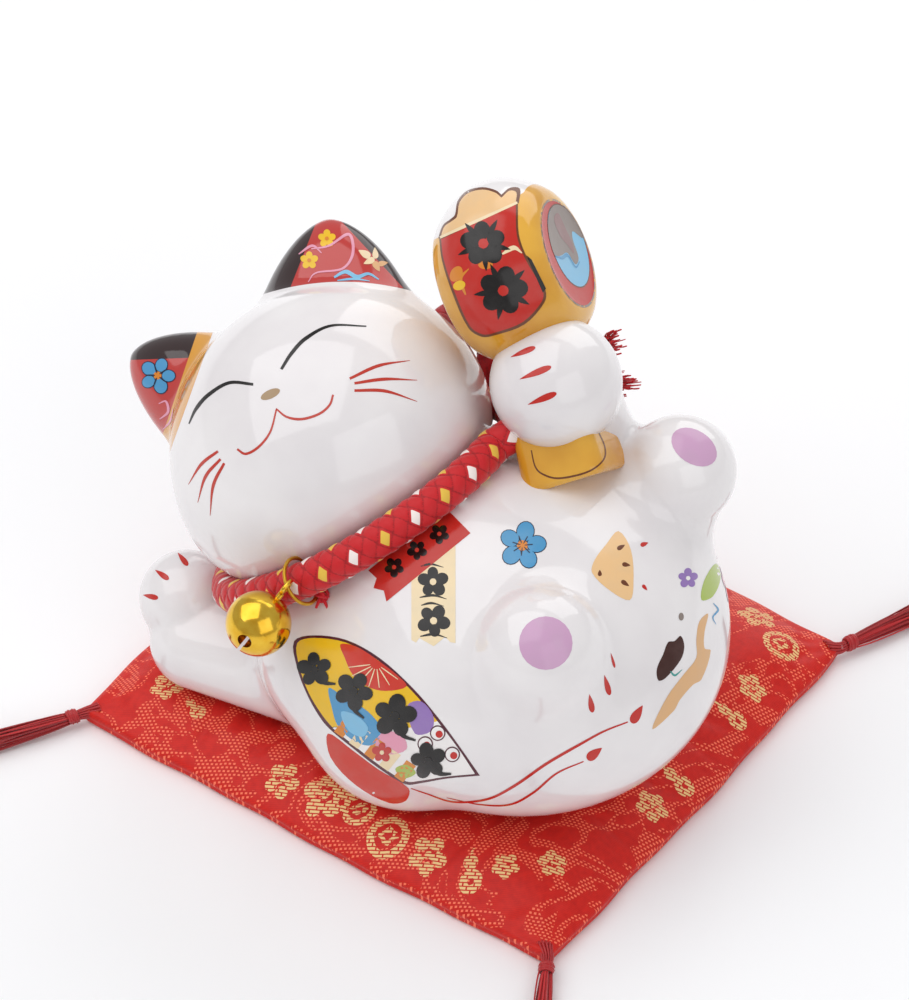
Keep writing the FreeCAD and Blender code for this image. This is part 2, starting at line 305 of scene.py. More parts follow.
def formSurface(form, low, high, step):  # dual surface of a form on a grid, pulled onto form = 0
    low = np.array(low, float)
    count = np.ceil((np.array(high) - low) / step).astype(int) + 1
    lines = [low[k] + step * np.arange(count[k]) for k in range(3)]
    value = np.empty(count, np.float32)
    for i, x in enumerate(lines[0]):
        y, z = np.meshgrid(lines[1], lines[2], indexing="ij")
        value[i] = form(np.stack([np.full_like(y, x), y, z], -1))
    inside = value < 0
    corners = [(i, j, k) for i in (0, 1) for j in (0, 1) for k in (0, 1)]
    full = sum(inside[i:count[0] - 1 + i, j:count[1] - 1 + j, k:count[2] - 1 + k].astype(int)
               for i, j, k in corners)
    cells = np.argwhere((full > 0) & (full < 8))
    index = -np.ones(full.shape, int)
    index[tuple(cells.T)] = np.arange(len(cells))
    points, hits = np.zeros((len(cells), 3)), np.zeros(len(cells))
    for i, a in enumerate(corners):
        for b in corners[i + 1:]:
            if sum(abs(m - n) for m, n in zip(a, b)) != 1:
                continue
            va, vb = value[tuple((cells + a).T)], value[tuple((cells + b).T)]
            crossed = (va < 0) != (vb < 0)
            t = np.where(crossed, va / np.where(crossed, va - vb, 1), 0)
            points += np.where(crossed[:, None], np.array(a) + t[:, None] * (np.array(b) - a), 0)
            hits += crossed
    points = low + (cells + points / hits[:, None]) * step
    faces = []
    for k in range(3):
        u, v = (k + 1) % 3, (k + 2) % 3
        first = [slice(1, m - 1) for m in count]
        second = list(first)
        first[k], second[k] = slice(0, count[k] - 1), slice(1, count[k])
        one, two = inside[tuple(first)], inside[tuple(second)]
        edges = np.argwhere(one != two)
        shift = np.array([1, 1, 1])
        shift[k] = 0
        spots = edges + shift
        corner = []
        for du, dv in ((-1, -1), (0, -1), (0, 0), (-1, 0)):
            g = spots.copy()
            g[:, u] += du
            g[:, v] += dv
            corner.append(index[tuple(g.T)])
        quad = np.stack(corner, 1)
        turned = ~one[tuple(edges.T)]
        quad[turned] = quad[turned][:, ::-1]
        faces.append(quad)
    for _ in range(2):
        slope = slopeOf(form, points) / 0.1
        points = points - (form(points) / np.maximum((slope * slope).sum(1), 0.2))[:, None] * slope
    return points, np.concatenate(faces)


fine = 0.8
bodyPoints, bodyFaces = formSurface(bodyForm, (-55, -52, 4), (62, 48, 94), fine)
catBody = meshPiece("glazed_body", bodyPoints, bodyFaces, [whiteGlaze, bareClay], "cat")
middles = bodyPoints[bodyFaces].mean(1)
underside = middles[:, 2] < baseHeight + 0.12
paintFaces(catBody, (underside | ((torsoForm(middles) < -1.5) & (middles[:, 2] < 60))) * 1)
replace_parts(catBody, "body_casting", "right_hind_leg", "left_hind_leg", "resting_foreleg", "raised_foreleg")

headPoints, headFaces = formSurface(headForm, (-75, -52, 20), (18, 38, 98), fine)
catHead = meshPiece("glazed_head", headPoints, headFaces, [headGlaze], "cat")
turnedFront = outwardOf(headForm, headPoints) @ backward


def painterPlace(points):  # where a point falls on the painter's plane, mm right and up of its centre
    fromEye = points - eye
    scale = view["distance"] / (fromEye @ -backward)
    return (fromEye @ sideways) * scale, (fromEye @ upward) * scale


def leftOf(a, b):  # mm to the left of the line from a to b
    n = unit([b[1] - a[1], -(b[0] - a[0])])
    return -((flatS - a[0]) * n[0] + (flatT - a[1]) * n[1])


flatS, flatT = painterPlace(headPoints)
rightEar = np.where(flatS > -41, flatT - 40.1 - 2.0 * np.clip(1 - ((flatS + 21.5) / 14) ** 2, -1, 1), -9.0)
leftEar = np.where(flatS < -41, leftOf((-54.7, 9.8), (-46.8, 31.8)), -9.0)
front = (turnedFront - 0.02) * 6
floatAttribute(catHead, "earDark", np.maximum(rightEar, leftEar))
rightRed = np.minimum.reduce([rightEar, front, -leftOf((-31.8, 40.6), (-26.4, 54.2)),
                              leftOf((-9.6, 40.6), (-22.4, 54.4))])
leftRed = np.minimum.reduce([leftEar, front, -leftOf((-62.5, 27.0), (-46.0, 27.6))])
floatAttribute(catHead, "earRed", np.maximum(rightRed, leftRed))
floatAttribute(catHead, "earOchre", np.minimum.reduce([leftEar, front, 2.2 - leftEar + 0.02 * flatT]))
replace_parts(catHead, "head_casting")
print("ceramic body and head", len(bodyPoints), len(headPoints))

# mallet

mallet = {
    "centre": (-2.9, 19.5, 88.9), "axis": (0.755, 0.442, 0.485), "halfLength": 10.9, "middleRadius": 17.3,
    "endRadius": 11.5, "edge": 1.5, "dish": (0.5, 10.0), "crownEnd": 8.6,
    "handleEnd": (21.9, 4.0, 62.9), "handleWidth": (11.0, 16.4), "handleCorner": 3.0, "handleEdge": 1.2,
}
malletCentre, handleEnd = np.array(mallet["centre"]), np.array(mallet["handleEnd"])
barrelAxis = unit(mallet["axis"])
handleAxis = unit(handleEnd - malletCentre)


def roundedEdge(a, b, k):  # where two faces meet, rounded to radius k
    return np.hypot(np.maximum(a + k, 0), np.maximum(b + k, 0)) - k + np.minimum(np.maximum(a, b) + k, 0)


def barrelForm(p):
    q = p - malletCentre
    s = q @ barrelAxis
    rad = np.linalg.norm(q - s[..., None] * barrelAxis, axis=-1)
    middle, half = mallet["middleRadius"], mallet["halfLength"]
    radius = middle - (middle - mallet["endRadius"]) * (s / half) ** 2
    dish = ellipsoid(np.stack([np.abs(s) - half, rad, 0 * s], -1), (0, 0, 0), (*mallet["dish"], 1))
    return np.maximum(roundedEdge((rad - radius) * 0.8, np.abs(s) - half, mallet["edge"]), -dish)


def handleForm(p):
    q = p - malletCentre
    h = q @ handleAxis
    across = unit(barrelAxis - handleAxis * (barrelAxis @ handleAxis))
    other = np.cross(handleAxis, across)
    length = np.linalg.norm(handleEnd - malletCentre)
    low, high = mallet["handleWidth"]
    half = (low + (high - low) * np.clip(h / length, 0, 1)) / 2
    side = roundedEdge(np.abs(q @ across) - half, np.abs(q @ other) - half, mallet["handleCorner"])
    return np.maximum(roundedEdge(side, h - length, mallet["handleEdge"]), -h)


barrelPoints, barrelFaces = formSurface(barrelForm, (-30, -6, 64), (22, 46, 116), 0.6)
malletBarrel = meshPiece("glazed_mallet_barrel", barrelPoints, barrelFaces, [barrelGlaze], "cat")
flatS, flatT = painterPlace(barrelPoints)
floatAttribute(malletBarrel, "crown", np.minimum(
    leftOf((-3.2, 50.6), (15.8, 60.6)), mallet["crownEnd"] - (barrelPoints - malletCentre) @ barrelAxis))
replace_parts(malletBarrel, "mallet_barrel")
handlePoints, handleFaces = formSurface(handleForm, (-16, -12, 50), (38, 34, 102), 0.6)
malletHandle = meshPiece("glazed_mallet_handle", handlePoints, handleFaces, [goldGlaze], "cat")
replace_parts(malletHandle, "mallet_handle")
print("mallet")

# collar

collar = {
    "centre": (-14.5, -9.0, 48.5), "axis": (-0.66, 0.0, 0.75), "ring": 29.2, "radius": 3.35,  # mm
    "strandPitch": 3.3, "strandsRound": 8, "relief": 0.28, "sunk": 0.5, "fleck": (0.29, 0.38),
}


def ropeCloth(name, colour, deep, zones=()):
    # spun rayon braid: soft sheen, shade painted dark into the gaps between strands, fine twisted fibres
    mat, place = newMaterial(name)
    twist = addNode(mat, "TexNoise", {"Vector": place, "Scale": 3200.0, "Detail": 3.0})
    fibre = addNode(mat, "Math", {0: twist, 1: 0.35}, operation="MULTIPLY")
    strand = addNode(mat, "Attribute", attribute_name="strand").outputs["Fac"]
    height = addNode(mat, "Math", {0: strand, 1: fibre}, operation="ADD")
    # full colour on the strand crests, falling to the deep colour as painted shade where the strands dip into the
    # gaps
    tint = addNode(mat, "ValToRGB", {"Fac": height}, [(0.05, deep), (0.55, colour)]).outputs["Color"]
    for field, strong, shade in zones:  # strands of another colour that surface for one crossing, each with its own painted shade colour in the gaps
        other = addNode(mat, "ValToRGB", {"Fac": height}, [(0.05, shade), (0.55, strong)])
        level = addNode(mat, "Attribute", attribute_name=field).outputs["Fac"]
        edge = addNode(mat, "MapRange", {"Value": level, "From Min": -0.01, "From Max": 0.01})
        tint = addNode(mat, "Mix", {"Factor": edge, "A": tint, "B": other}, data_type="RGBA").outputs[2]
    return finishMaterial(mat, {
        "Base Color": tint, "Roughness": 0.55, "Sheen Weight": 0.35, "Sheen Roughness": 0.4,
        "Specular IOR Level": 0.35,
        "Normal": addNode(mat, "Bump", {"Height": fibre, "Strength": 0.5, "Distance": 0.0003})})


# the second colour of each braid, and of each fleck, is painted shade for the gaps between strands
redBraid = ropeCloth("red rayon braid", "#D01626", "#7A0612")
fleckedBraid = ropeCloth("red rayon braid with gold and white strands", "#CC1A22", "#7A0612", [
    ("goldFleck", "#EBC04A", "#8A5A10"), ("whiteFleck", "#FAEDE8", "#B98A88")])
darkBraid = ropeCloth("dark red rayon braid", "#A51020", "#4A040C")

neckCentre, neckAxis = np.array(collar["centre"]), unit(collar["axis"])
ringStart = np.array([0.0, -1.0, 0.0])
ringSide = np.cross(ringStart, neckAxis)
ringSide = unit(ringSide if ringSide[2] > 0 else -ringSide)


def ringPoint(angle):
    return neckCentre + (np.outer(np.cos(angle), ringStart) +
                         np.outer(np.sin(angle), ringSide)) * collar["ring"]


def collarLine(count):  # the cord lies on the glaze: pushed outward where head or body would swallow it
    angle = np.linspace(0, 2 * math.pi, count, endpoint=False)
    line = ringPoint(angle)
    out = (line - neckCentre) / collar["ring"]
    for _ in range(12):
        gap = np.minimum(headForm(line), bodyForm(line)) - (collar["radius"] - collar["sunk"])
        line = line + out * np.clip(-gap, 0, 1)[:, None]
    lift = np.linalg.norm(line - neckCentre, axis=1)
    kernel = np.hanning(31) / np.hanning(31).sum()
    lift = np.convolve(np.concatenate([lift[-15:], lift, lift[:15]]), kernel, "valid")
    return neckCentre + out * lift[:, None]


def tubeFrames(line, closed):  # two directions across the line at each point, without twist
    if closed:
        along = np.roll(line, -1, 0) - np.roll(line, 1, 0)
    else:
        along = np.gradient(line, axis=0)
    along /= np.linalg.norm(along, axis=1, keepdims=True)
    side = np.zeros_like(line)
    s = np.cross(along[0], [0.3, 0.1, 1.0])
    for k, t in enumerate(along):
        s = s - t * (s @ t)
        s /= np.linalg.norm(s)
        side[k] = s
    return side, np.cross(along, side)


def braidedTube(name, line, radius, material, closed=False, detail=0.26):  # strands wound both ways, over and under
    ringed = np.vstack([line, line[:1]]) if closed else line
    length = np.linalg.norm(np.diff(ringed, axis=0), axis=1).sum()
    rows = max(8, int(length / detail))
    around = max(16, int(2 * math.pi * np.max(radius) / detail))
    source = np.linspace(0, len(ringed) - 1, rows, endpoint=not closed)
    base = np.stack([np.interp(source, np.arange(len(ringed)), ringed[:, k]) for k in range(3)], 1)
    radius = np.interp(source, np.linspace(0, len(line), np.size(radius)), np.atleast_1d(radius))
    side, up = tubeFrames(base, closed)
    u = np.arange(rows) * length / rows
    v = np.arange(around) / around
    turns = collar["strandsRound"]
    pitches = max(1, round(length / collar["strandPitch"]))
    a = u[:, None] / length * pitches + v[None] * turns / 2
    b = u[:, None] / length * pitches - v[None] * turns / 2
    fa, fb = a % 1 - 0.5, b % 1 - 0.5
    over = (np.floor(a) + np.floor(b)) % 2 == 0
    top = np.cos(math.pi * np.where(over, fa, fb)) * (0.72 + 0.28 * np.cos(math.pi * np.where(over, fb, fa)))
    height = radius[:, None] + collar["relief"] * (top - 1)
    ang = v * 2 * math.pi
    ringDir = side[:, None] * np.cos(ang)[None, :, None] + up[:, None] * np.sin(ang)[None, :, None]
    points = (base[:, None] + ringDir * height[..., None]).reshape(-1, 3)
    faces = []
    for i in range(rows if closed else rows - 1):
        j = (i + 1) % rows
        for k in range(around):
            m = (k + 1) % around
            faces.append((i * around + k, i * around + m, j * around + m, j * around + k))
    if not closed:
        faces.append(tuple(range(around - 1, -1, -1)))
        faces.append(tuple((rows - 1) * around + k for k in range(around)))
    piece = meshPiece(name, points, faces, [material], "cat")
    if closed:
        patchField = np.minimum(collar["fleck"][0] - np.abs(fa), collar["fleck"][1] - np.abs(fb))
        for field, phase in (("goldFleck", 0), ("whiteFleck", 2)):
            here = over & (np.floor(a) % 4 == phase) & (np.floor(b) % 2 == 0)
            floatAttribute(piece, field, np.where(here, patchField, -0.2).ravel())
    # strand crest height: the braid materials paint shade where it is low, in the gaps between strands
    floatAttribute(piece, "strand", np.clip(top, 0, 1).ravel())
    return piece


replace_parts(braidedTube("collar_braid", collarLine(720), collar["radius"], fleckedBraid, True, 0.22), "collar_cord")


def smoothLine(points, count=80):  # Catmull-Rom through a few points
    p = np.array(points, float)
    p = np.vstack([2 * p[0] - p[1], p, 2 * p[-1] - p[-2]])
    out = []
    spans = len(p) - 3
    for s in np.linspace(0, spans - 1e-6, count):
        i, t = int(s), s - int(s)
        a, b, c, d = p[i:i + 4]
        out.append(0.5 * (2 * b + (c - a) * t + (2 * a - 5 * b + 4 * c - d) * t * t +
                          (3 * b - a - 3 * c + d) * t ** 3))
    return np.array(out)


knot = {"low": (-10.0, 22.6, 53.5), "high": (-15.8, 22.2, 66.0), "crest": (-17.2, 18.9, 70.4), "cord": 2.4,
        "turns": 2.3, "wrap": 2.5}
knotLow, knotHigh = np.array(knot["low"]), np.array(knot["high"])
knotAxis = unit(knotHigh - knotLow)
knotSide = unit(np.cross(knotAxis, [0.2, 1.0, 0.1]))
knotOut = np.cross(knotAxis, knotSide)
spin = np.linspace(0, knot["turns"] * 2 * math.pi, 90)[:, None]
turns = smoothLine([knotLow, knotHigh, knot["crest"]], 90) + knot["wrap"] * (
    knotSide * np.cos(spin) + knotOut * np.sin(spin))  # turns pulled tight
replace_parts(braidedTube("collar_knot_turns", turns, knot["cord"], darkBraid), "collar_knot")

tails = {  # two frayed ends, from the knot round behind the raised arm
    "upper": ((-13.0, 23.0, 58.0), (-9.0, 26.0, 58.5), (1.5, 31.5, 62.0), (10.5, 29.5, 71.0)),
    "lower": ((-11.0, 22.8, 55.0), (-8.0, 26.5, 53.0), (3.0, 32.0, 54.0), (13.0, 30.0, 62.0)),
}


def strandBundle(name, lines, radii, material, body, sides=5):  # many thin threads in one mesh
    points, faces = [], []
    for line, thick in zip(lines, radii):
        side, up = tubeFrames(line, False)
        start = len(points)
        for k, p in enumerate(line):
            taper = thick * (1 - 0.45 * k / len(line))
            for m in range(sides):
                ang = 2 * math.pi * m / sides
                points.append(p + taper * (side[k] * math.cos(ang) + up[k] * math.sin(ang)))
        for k in range(len(line) - 1):
            for m in range(sides):
                n = (m + 1) % sides
                a = start + k * sides
                faces.append((a + m, a + n, a + sides + n, a + sides + m))
        faces.append(tuple(start + m for m in range(sides - 1, -1, -1)))
        faces.append(tuple(start + (len(line) - 1) * sides + m for m in range(sides)))
    piece = meshPiece(name, points, faces, [material], body)
    floatAttribute(piece, "strand", np.full(len(points), 0.6))
    return piece


for which, route in tails.items():
    line = smoothLine(route, 60)
    cord = braidedTube("collar_tail_%s_braid" % which, line, np.array([1.7, 1.7, 1.6]), redBraid, detail=0.35)
    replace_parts(cord, "collar_tail_%s" % which)
    threads, thick = [], []
    heading = unit(line[-1] - line[-4])
    for n in range(46):
        spread = np.array([random.gauss(0, 1) for _ in range(3)])
        start = line[-1] + 1.1 * unit(spread) * random.random() - heading * 0.5
        end = start + heading * random.uniform(2.2, 4.6) + spread * 0.75
        middle = (start + end) / 2 + spread * 0.3
        threads.append(smoothLine([start, middle, end], 6))
        thick.append(random.uniform(0.15, 0.24))
    fray = strandBundle("collar_tail_%s_fray" % which, threads, thick, redBraid, "cat", 4)
print("collar")

# jingle bell


def platedBrass(name, colour, warm, roughness):
    # stamped brass, lacquered gold: mirror bright with faint press marks
    mat, place = newMaterial(name)
    cloud = addNode(mat, "TexNoise", {"Vector": place, "Scale": 260.0, "Detail": 3.0})
    press = addNode(mat, "TexNoise", {"Vector": place, "Scale": 1500.0, "Detail": 2.0})
    rough = addNode(mat, "MapRange", {"Value": cloud, "To Min": roughness * 0.7, "To Max": roughness * 1.5})
    return finishMaterial(mat, {
        "Base Color": addNode(mat, "ValToRGB", {"Fac": cloud}, [(0.3, warm), (0.7, colour)]), "Metallic": 1.0,
        "Roughness": rough, "Normal": addNode(mat, "Bump", {"Height": press, "Strength": 0.06, "Distance": 0.0002})})


bellGold = platedBrass("gold-lacquered stamped brass", "#F2CB4E", "#E0A92E", 0.14)
pelletSteel = platedBrass("dull steel shot", "#9A9A98", "#7C7C7A", 0.4)
threadGold = platedBrass("gold lurex thread", "#E8C04C", "#B98322", 0.35)
dress = {"bell_upper_shell": bellGold, "bell_lower_shell": bellGold, "bell_loop": bellGold,
         "bell_pellet": pelletSteel, "bell_tie_thread": threadGold}
for node, finish in dress.items():
    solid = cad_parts[node]
    solid.data.materials.clear()
    solid.data.materials.append(finish)
print("bell")

# cushion

cushion = {
    "half": (52.3, 47.8), "edge": 3.0, "top": 7.0, "cells": (76, 70), "cornerSpan": (52, 48),  # mm
    "bulge": 0.7, "cornerRound": 0.006, "simScale": 20.0, "frames": 22, "riseCap": 2.6,
    "rolledEdge": ((0.45, 2.75), (0.55, 2.1), (0.1, 1.55), (0.35, 1.05), (0.2, 0.45)),  # outward, height; seam third
    "threadAngle": 22.0, "weft": 0.60, "warp": 0.86, "float": 2.1, "ground": 0.31,
}
satinCloth = {  # a firm satin, shrinking the other way by 3.5 per cent so that it has some slack
    "quality": 8, "mass": 0.25, "tension_stiffness": 22, "compression_stiffness": 18, "bending_stiffness": 0.35,
    "shrink_min": -0.035, "use_pressure": True, "uniform_pressure_force": 3.2, "vertex_group_mass": "held",
    "pin_stiffness": 8.0,
}
goldMotifs = [  # kind, place in mm, size in mm, turn in degrees
    ("blossom", -10.0, -43.2, 3.5, 10), ("blossom", -1.0, -42.2, 4.6, 40), ("coin", 6.0, -41.2, 3.4, 0),
    ("blossom", 3.2, -35.2, 3.2, 70), ("coin", 14.0, -43.4, 4.1, 20), ("blossom", 22.6, -43.0, 3.9, 80),
    ("gourd", 31.5, -42.2, 4.1, 35), ("blossom", 36.5, -38.4, 2.8, 15),
    ("blossom", -41.0, -37.5, 3.4, 15), ("gourd", -33.5, -39.0, 3.0, 70), ("blossom", 37.5, 42.0, 4.0, 0),
    ("coin", 45.2, 38.5, 3.6, 20), ("gourd", 48.6, -1.0, 3.6, 95), ("blossom", 48.4, -9.0, 3.3, 20),
    ("blossom", -22.0, 39.4, 3.8, 30), ("coin", -36.0, 36.0, 3.4, 10), ("gourd", -45.5, 4.0, 3.4, 80),
    ("blossom", -44.5, -14.0, 3.2, 50), ("coin", 10.0, 41.0, 3.2, 0), ("blossom", 43.0, -33.0, 3.0, 60),
    ("gourd", 47.6, 18.0, 3.4, 100), ("blossom", 47.0, 26.0, 3.0, 40),
]


def motifField(x, y, kind, px, py, size, turn):  # negative on the gold
    c, s = math.cos(math.radians(turn)), math.sin(math.radians(turn))
    u, v = ((x - px) * c + (y - py) * s) / size, (-(x - px) * s + (y - py) * c) / size
    r = np.hypot(u, v)
    if kind == "blossom":  # five round petals about an open eye
        d = np.abs(r - 0.10) - 0.09
        for k in range(5):
            a = 2 * math.pi * k / 5
            d = np.minimum(d, np.hypot(u - 0.62 * math.cos(a), v - 0.62 * math.sin(a)) - 0.33)
        return d * size
    if kind == "coin":  # ring round a lozenge
        ring = np.abs(r - 0.80) - 0.17
        lozenge = np.abs(np.abs(u) + np.abs(v) - 0.36) - 0.13
        return np.minimum(ring, lozenge) * size
    fromLow = np.hypot(u, v + 0.42)  # gourd: an open lower bulb, a full upper one and a stalk
    stalk = np.maximum(np.abs(u - 0.1 * v) - 0.09, np.abs(v - 0.88) - 0.22)
    return np.minimum.reduce([np.maximum(fromLow - 0.52, 0.16 - fromLow), np.hypot(u, v - 0.42) - 0.33, stalk]) * size


def cushionPlan(u, v):  # square grid to the sewn outline: sides bow out a little, corners are drawn in
    hx, hy = (half + 0.5 for half in cushion["half"])
    draw = 1 - cushion["cornerRound"] * (np.abs(u) ** 9) * (np.abs(v) ** 9)
    waveX = 0.22 * np.sin(7.3 * v + 1.1) + 0.15 * np.sin(17.0 * v)
    waveY = 0.22 * np.sin(6.1 * u + 0.4) + 0.15 * np.sin(19.0 * u + 2.0)
    x = u * (hx + (cushion["bulge"] * (1 - v * v) - 0.5 + waveX) * np.abs(u) ** 3) * draw
    y = v * (hy + (cushion["bulge"] * (1 - u * u) - 0.5 + waveY) * np.abs(v) ** 3) * draw
    return x, y


def cushionRest(u, v):  # height of the top cover, with gathers fanning out from each corner
    puff = (1 - np.abs(u) ** 5) * (1 - np.abs(v) ** 5)
    z = cushion["edge"] + 0.2 + (cushion["top"] - cushion["edge"] - 0.2) * np.minimum(1, 1.35 * puff) ** 0.8
    du, dv = (1 - np.abs(u)) * cushion["cornerSpan"][0], (1 - np.abs(v)) * cushion["cornerSpan"][1]
    corner, fan = np.hypot(du, dv), np.arctan2(dv, du + 1e-6)
    return z + 0.38 * np.exp(-corner / 7.0) * np.cos(fan * 14) * np.minimum(1, corner / 2)


def sewnCushion():  # top and underside grids joined through the rolled edge
    nu, nv = cushion["cells"]
    u, v = (np.linspace(-1, 1, n + 1) for n in (nu, nv))
    u, v = (np.sign(t) * (1 - (1 - np.abs(t)) ** 1.15) for t in (u, v))  # cells narrow toward the edge
    gu, gv = np.meshgrid(u, v, indexing="ij")
    x, y = cushionPlan(gu, gv)
    top = np.stack([x, y, cushionRest(gu, gv)], -1).reshape(-1, 3)
    low = np.stack([x * 0.992, y * 0.992, np.full_like(x, 0.12)], -1).reshape(-1, 3)
    grid = np.arange((nu + 1) * (nv + 1)).reshape(nu + 1, nv + 1)
    faces = [(grid[i, j], grid[i + 1, j], grid[i + 1, j + 1], grid[i, j + 1]) for i in range(nu) for j in range(nv)]
    shift = len(top)
    faces += [tuple(int(k) + shift for k in reversed(f)) for f in faces]
    border = [grid[i, 0] for i in range(nu)] + [grid[nu, j] for j in range(nv)] + \
             [grid[i, nv] for i in range(nu, 0, -1)] + [grid[0, j] for j in range(nv, 0, -1)]
    out = top[border][:, :2]
    out = out / np.linalg.norm(out, axis=1, keepdims=True)
    rings = [border]
    points = [top, low]
    count = 2 * shift
    for push, z in cushion["rolledEdge"]:
        ring = top[border].copy()
        ring[:, :2] += out * push
        ring[:, 2] = z
        points.append(ring)
        rings.append(list(range(count, count + len(border))))
        count += len(border)
    rings.append([b + shift for b in border])
    n = len(border)
    for a, b in zip(rings, rings[1:]):
        faces += [(a[k], b[k], b[(k + 1) % n], a[(k + 1) % n]) for k in range(n)]
    return np.vstack(points), faces, gu.ravel(), gv.ravel()


def clothPuff(points, faces, held):  # the cover swells under stuffing pressure where nothing holds it
    big = cushion["simScale"]
    cover = addObject("coverSim", newMesh("coverSim", points * mm * big, faces))
    group = cover.vertex_groups.new(name="held")
    for weight in sorted(set(np.round(held, 2))):
        if weight > 0:
            group.add([int(i) for i in np.where(np.round(held, 2) == weight)[0]], float(weight), "REPLACE")
    cloth = cover.modifiers.new("Cloth", "CLOTH")
    for key, value in satinCloth.items():
        setattr(cloth.settings, key, value)
    cloth.settings.effector_weights.gravity = 0
    cloth.collision_settings.use_collision = False
    cloth.point_cache.frame_start, cloth.point_cache.frame_end = 1, cushion["frames"]
    for step in range(1, cushion["frames"] + 1):
        bpy.context.scene.frame_set(step)
    shaped = cover.evaluated_get(bpy.context.evaluated_depsgraph_get()).to_mesh()
    found = np.zeros(len(shaped.vertices) * 3)
    shaped.vertices.foreach_get("co", found)
    bpy.data.objects.remove(cover)
    bpy.context.scene.frame_set(1)
    return found.reshape(-1, 3) / mm / big


def brocade():
    # red satin with a tone-on-tone damask of tiny floats, and thicker gold-file floats lying proud on it
    mat, place = newMaterial("red damask satin with gold floats")
    angle = math.radians(-cushion["threadAngle"])
    threads = addNode(mat, "SeparateXYZ", {
        "Vector": addNode(mat, "Mapping", {"Vector": place, "Rotation": (0, 0, angle)})}).outputs
    swirl = {"Vector": place, "Scale": 58.0, "Detail": 1.0, "Distortion": 2.8}
    weave = {
        "X": threads["X"], "Y": threads["Y"], "swirl": addNode(mat, "TexNoise", swirl),
        "grain": addNode(mat, "TexNoise", {"Vector": place, "Scale": 900.0, "Detail": 2.0}),
        "motif": addNode(mat, "Attribute", attribute_name="gold").outputs["Fac"],
    }
    for made, operation, *values in (  # each step takes earlier ones by name
        ("across", "DIVIDE", "Y", cushion["weft"] * mm), ("row", "FLOOR", "across"),
        ("fromGap", "PINGPONG", "across", 0.5),  # 0 between two threads, 0.5 in the middle of one
        ("length", "DIVIDE", "X", cushion["float"] * mm), ("floats", "MULTIPLY_ADD", "row", 0.37, "length"),
        ("fromEnd", "PINGPONG", "floats", 0.5), ("wide", "GREATER_THAN", "fromGap", 0.16),
        ("long", "GREATER_THAN", "fromEnd", 0.07), ("thread", "MULTIPLY", "wide", "long"),
        ("onMotif", "LESS_THAN", "motif", 0.0), ("gold", "MULTIPLY", "onMotif", "thread"),
        ("fine", "DIVIDE", "X", cushion["warp"] * mm), ("dots", "MULTIPLY_ADD", "row", 0.5, "fine"),
        ("fromDot", "PINGPONG", "dots", 0.5), ("dotWide", "GREATER_THAN", "fromGap", 0.24),
        ("dotLong", "GREATER_THAN", "fromDot", 0.23), ("dot", "MULTIPLY", "dotWide", "dotLong"),
        ("band", "COMPARE", "swirl", 0.5, 0.06), ("damask", "MULTIPLY", "band", "dot"),
        ("rib", "DIVIDE", "Y", cushion["ground"] * mm), ("ribbed", "FRACT", "rib"),
        ("speck", "MULTIPLY", "grain", 0.6), ("tone", "MULTIPLY_ADD", "ribbed", 0.25, "speck"),
        ("low", "MULTIPLY_ADD", "damask", 0.4, "gold"), ("lift", "MULTIPLY_ADD", "ribbed", 0.15, "low"),
    ):
        weave[made] = addNode(mat, "Math", {n: weave.get(v, v) for n, v in enumerate(values)}, operation=operation)
    colour = addNode(mat, "ValToRGB", {"Fac": weave["tone"]}, [(0.15, "#BE120C"), (0.7, "#DE2416")]).outputs["Color"]
    for step, paint in (("damask", "#FF7C5C"), ("gold", "#F6CF8E")):
        mixed = {"Factor": weave[step], "A": colour, "B": hexLinear(paint)}
        colour = addNode(mat, "Mix", mixed, data_type="RGBA").outputs[2]
    rough = addNode(mat, "MapRange", {"Value": weave["gold"], "To Min": 0.46, "To Max": 0.34})
    return finishMaterial(mat, {
        "Base Color": colour, "Roughness": rough, "Sheen Weight": 0.08, "Sheen Roughness": 0.35,
        "Specular IOR Level": 0.3,
        "Normal": addNode(mat, "Bump", {"Height": weave["lift"], "Strength": 0.55, "Distance": 0.00018})})


coverPoints, coverFaces, gridU, gridV = sewnCushion()
topCount = len(gridU)
print("cushion grid", len(coverPoints))
contact = bodyForm(np.column_stack([coverPoints[:topCount, 0], coverPoints[:topCount, 1],
                                    np.full(topCount, baseHeight + 0.05)]))
held = np.ones(len(coverPoints))
rim = np.maximum(np.abs(gridU), np.abs(gridV))
held[:topCount] = np.where(contact < 0.5, 1.0, np.clip((rim - 0.93) / 0.05, 0, 1))
swollen = clothPuff(coverPoints, coverFaces, held)
move = swollen - coverPoints
far = np.linalg.norm(move, axis=1, keepdims=True)
coverPoints = coverPoints + move * np.minimum(1, cushion["riseCap"] / np.maximum(far, 1e-6))
print("cushion cover puffed, largest move mm", round(float(far.max()), 2))
for _ in range(10):  # the figurine's weight keeps the cover under the glaze
    gap = bodyForm(coverPoints[:topCount]) - 0.12
    sink = np.where((gap < 0) & (coverPoints[:topCount, 2] > 1), -gap, 0)
    coverPoints[:topCount, 2] -= np.clip(sink, 0, 0.8)
coverPoints[:, 2] = np.maximum(coverPoints[:, 2], 0.03)
coverPoints[:topCount, 2] = np.where(contact < 0.3, np.minimum(coverPoints[:topCount, 2], baseHeight - 0.02),
                                     coverPoints[:topCount, 2])
cushionCover = meshPiece("cushion_sewn_cover", coverPoints, coverFaces, [brocade()], "cushion")
smoother = cushionCover.modifiers.new("Subdivision", "SUBSURF")
smoother.levels = smoother.render_levels = 1
finer = bpy.data.meshes.new_from_object(cushionCover.evaluated_get(bpy.context.evaluated_depsgraph_get()))
cushionCover.modifiers.clear()
cushionCover.data = finer
spots = np.zeros(len(cushionCover.data.vertices) * 3)
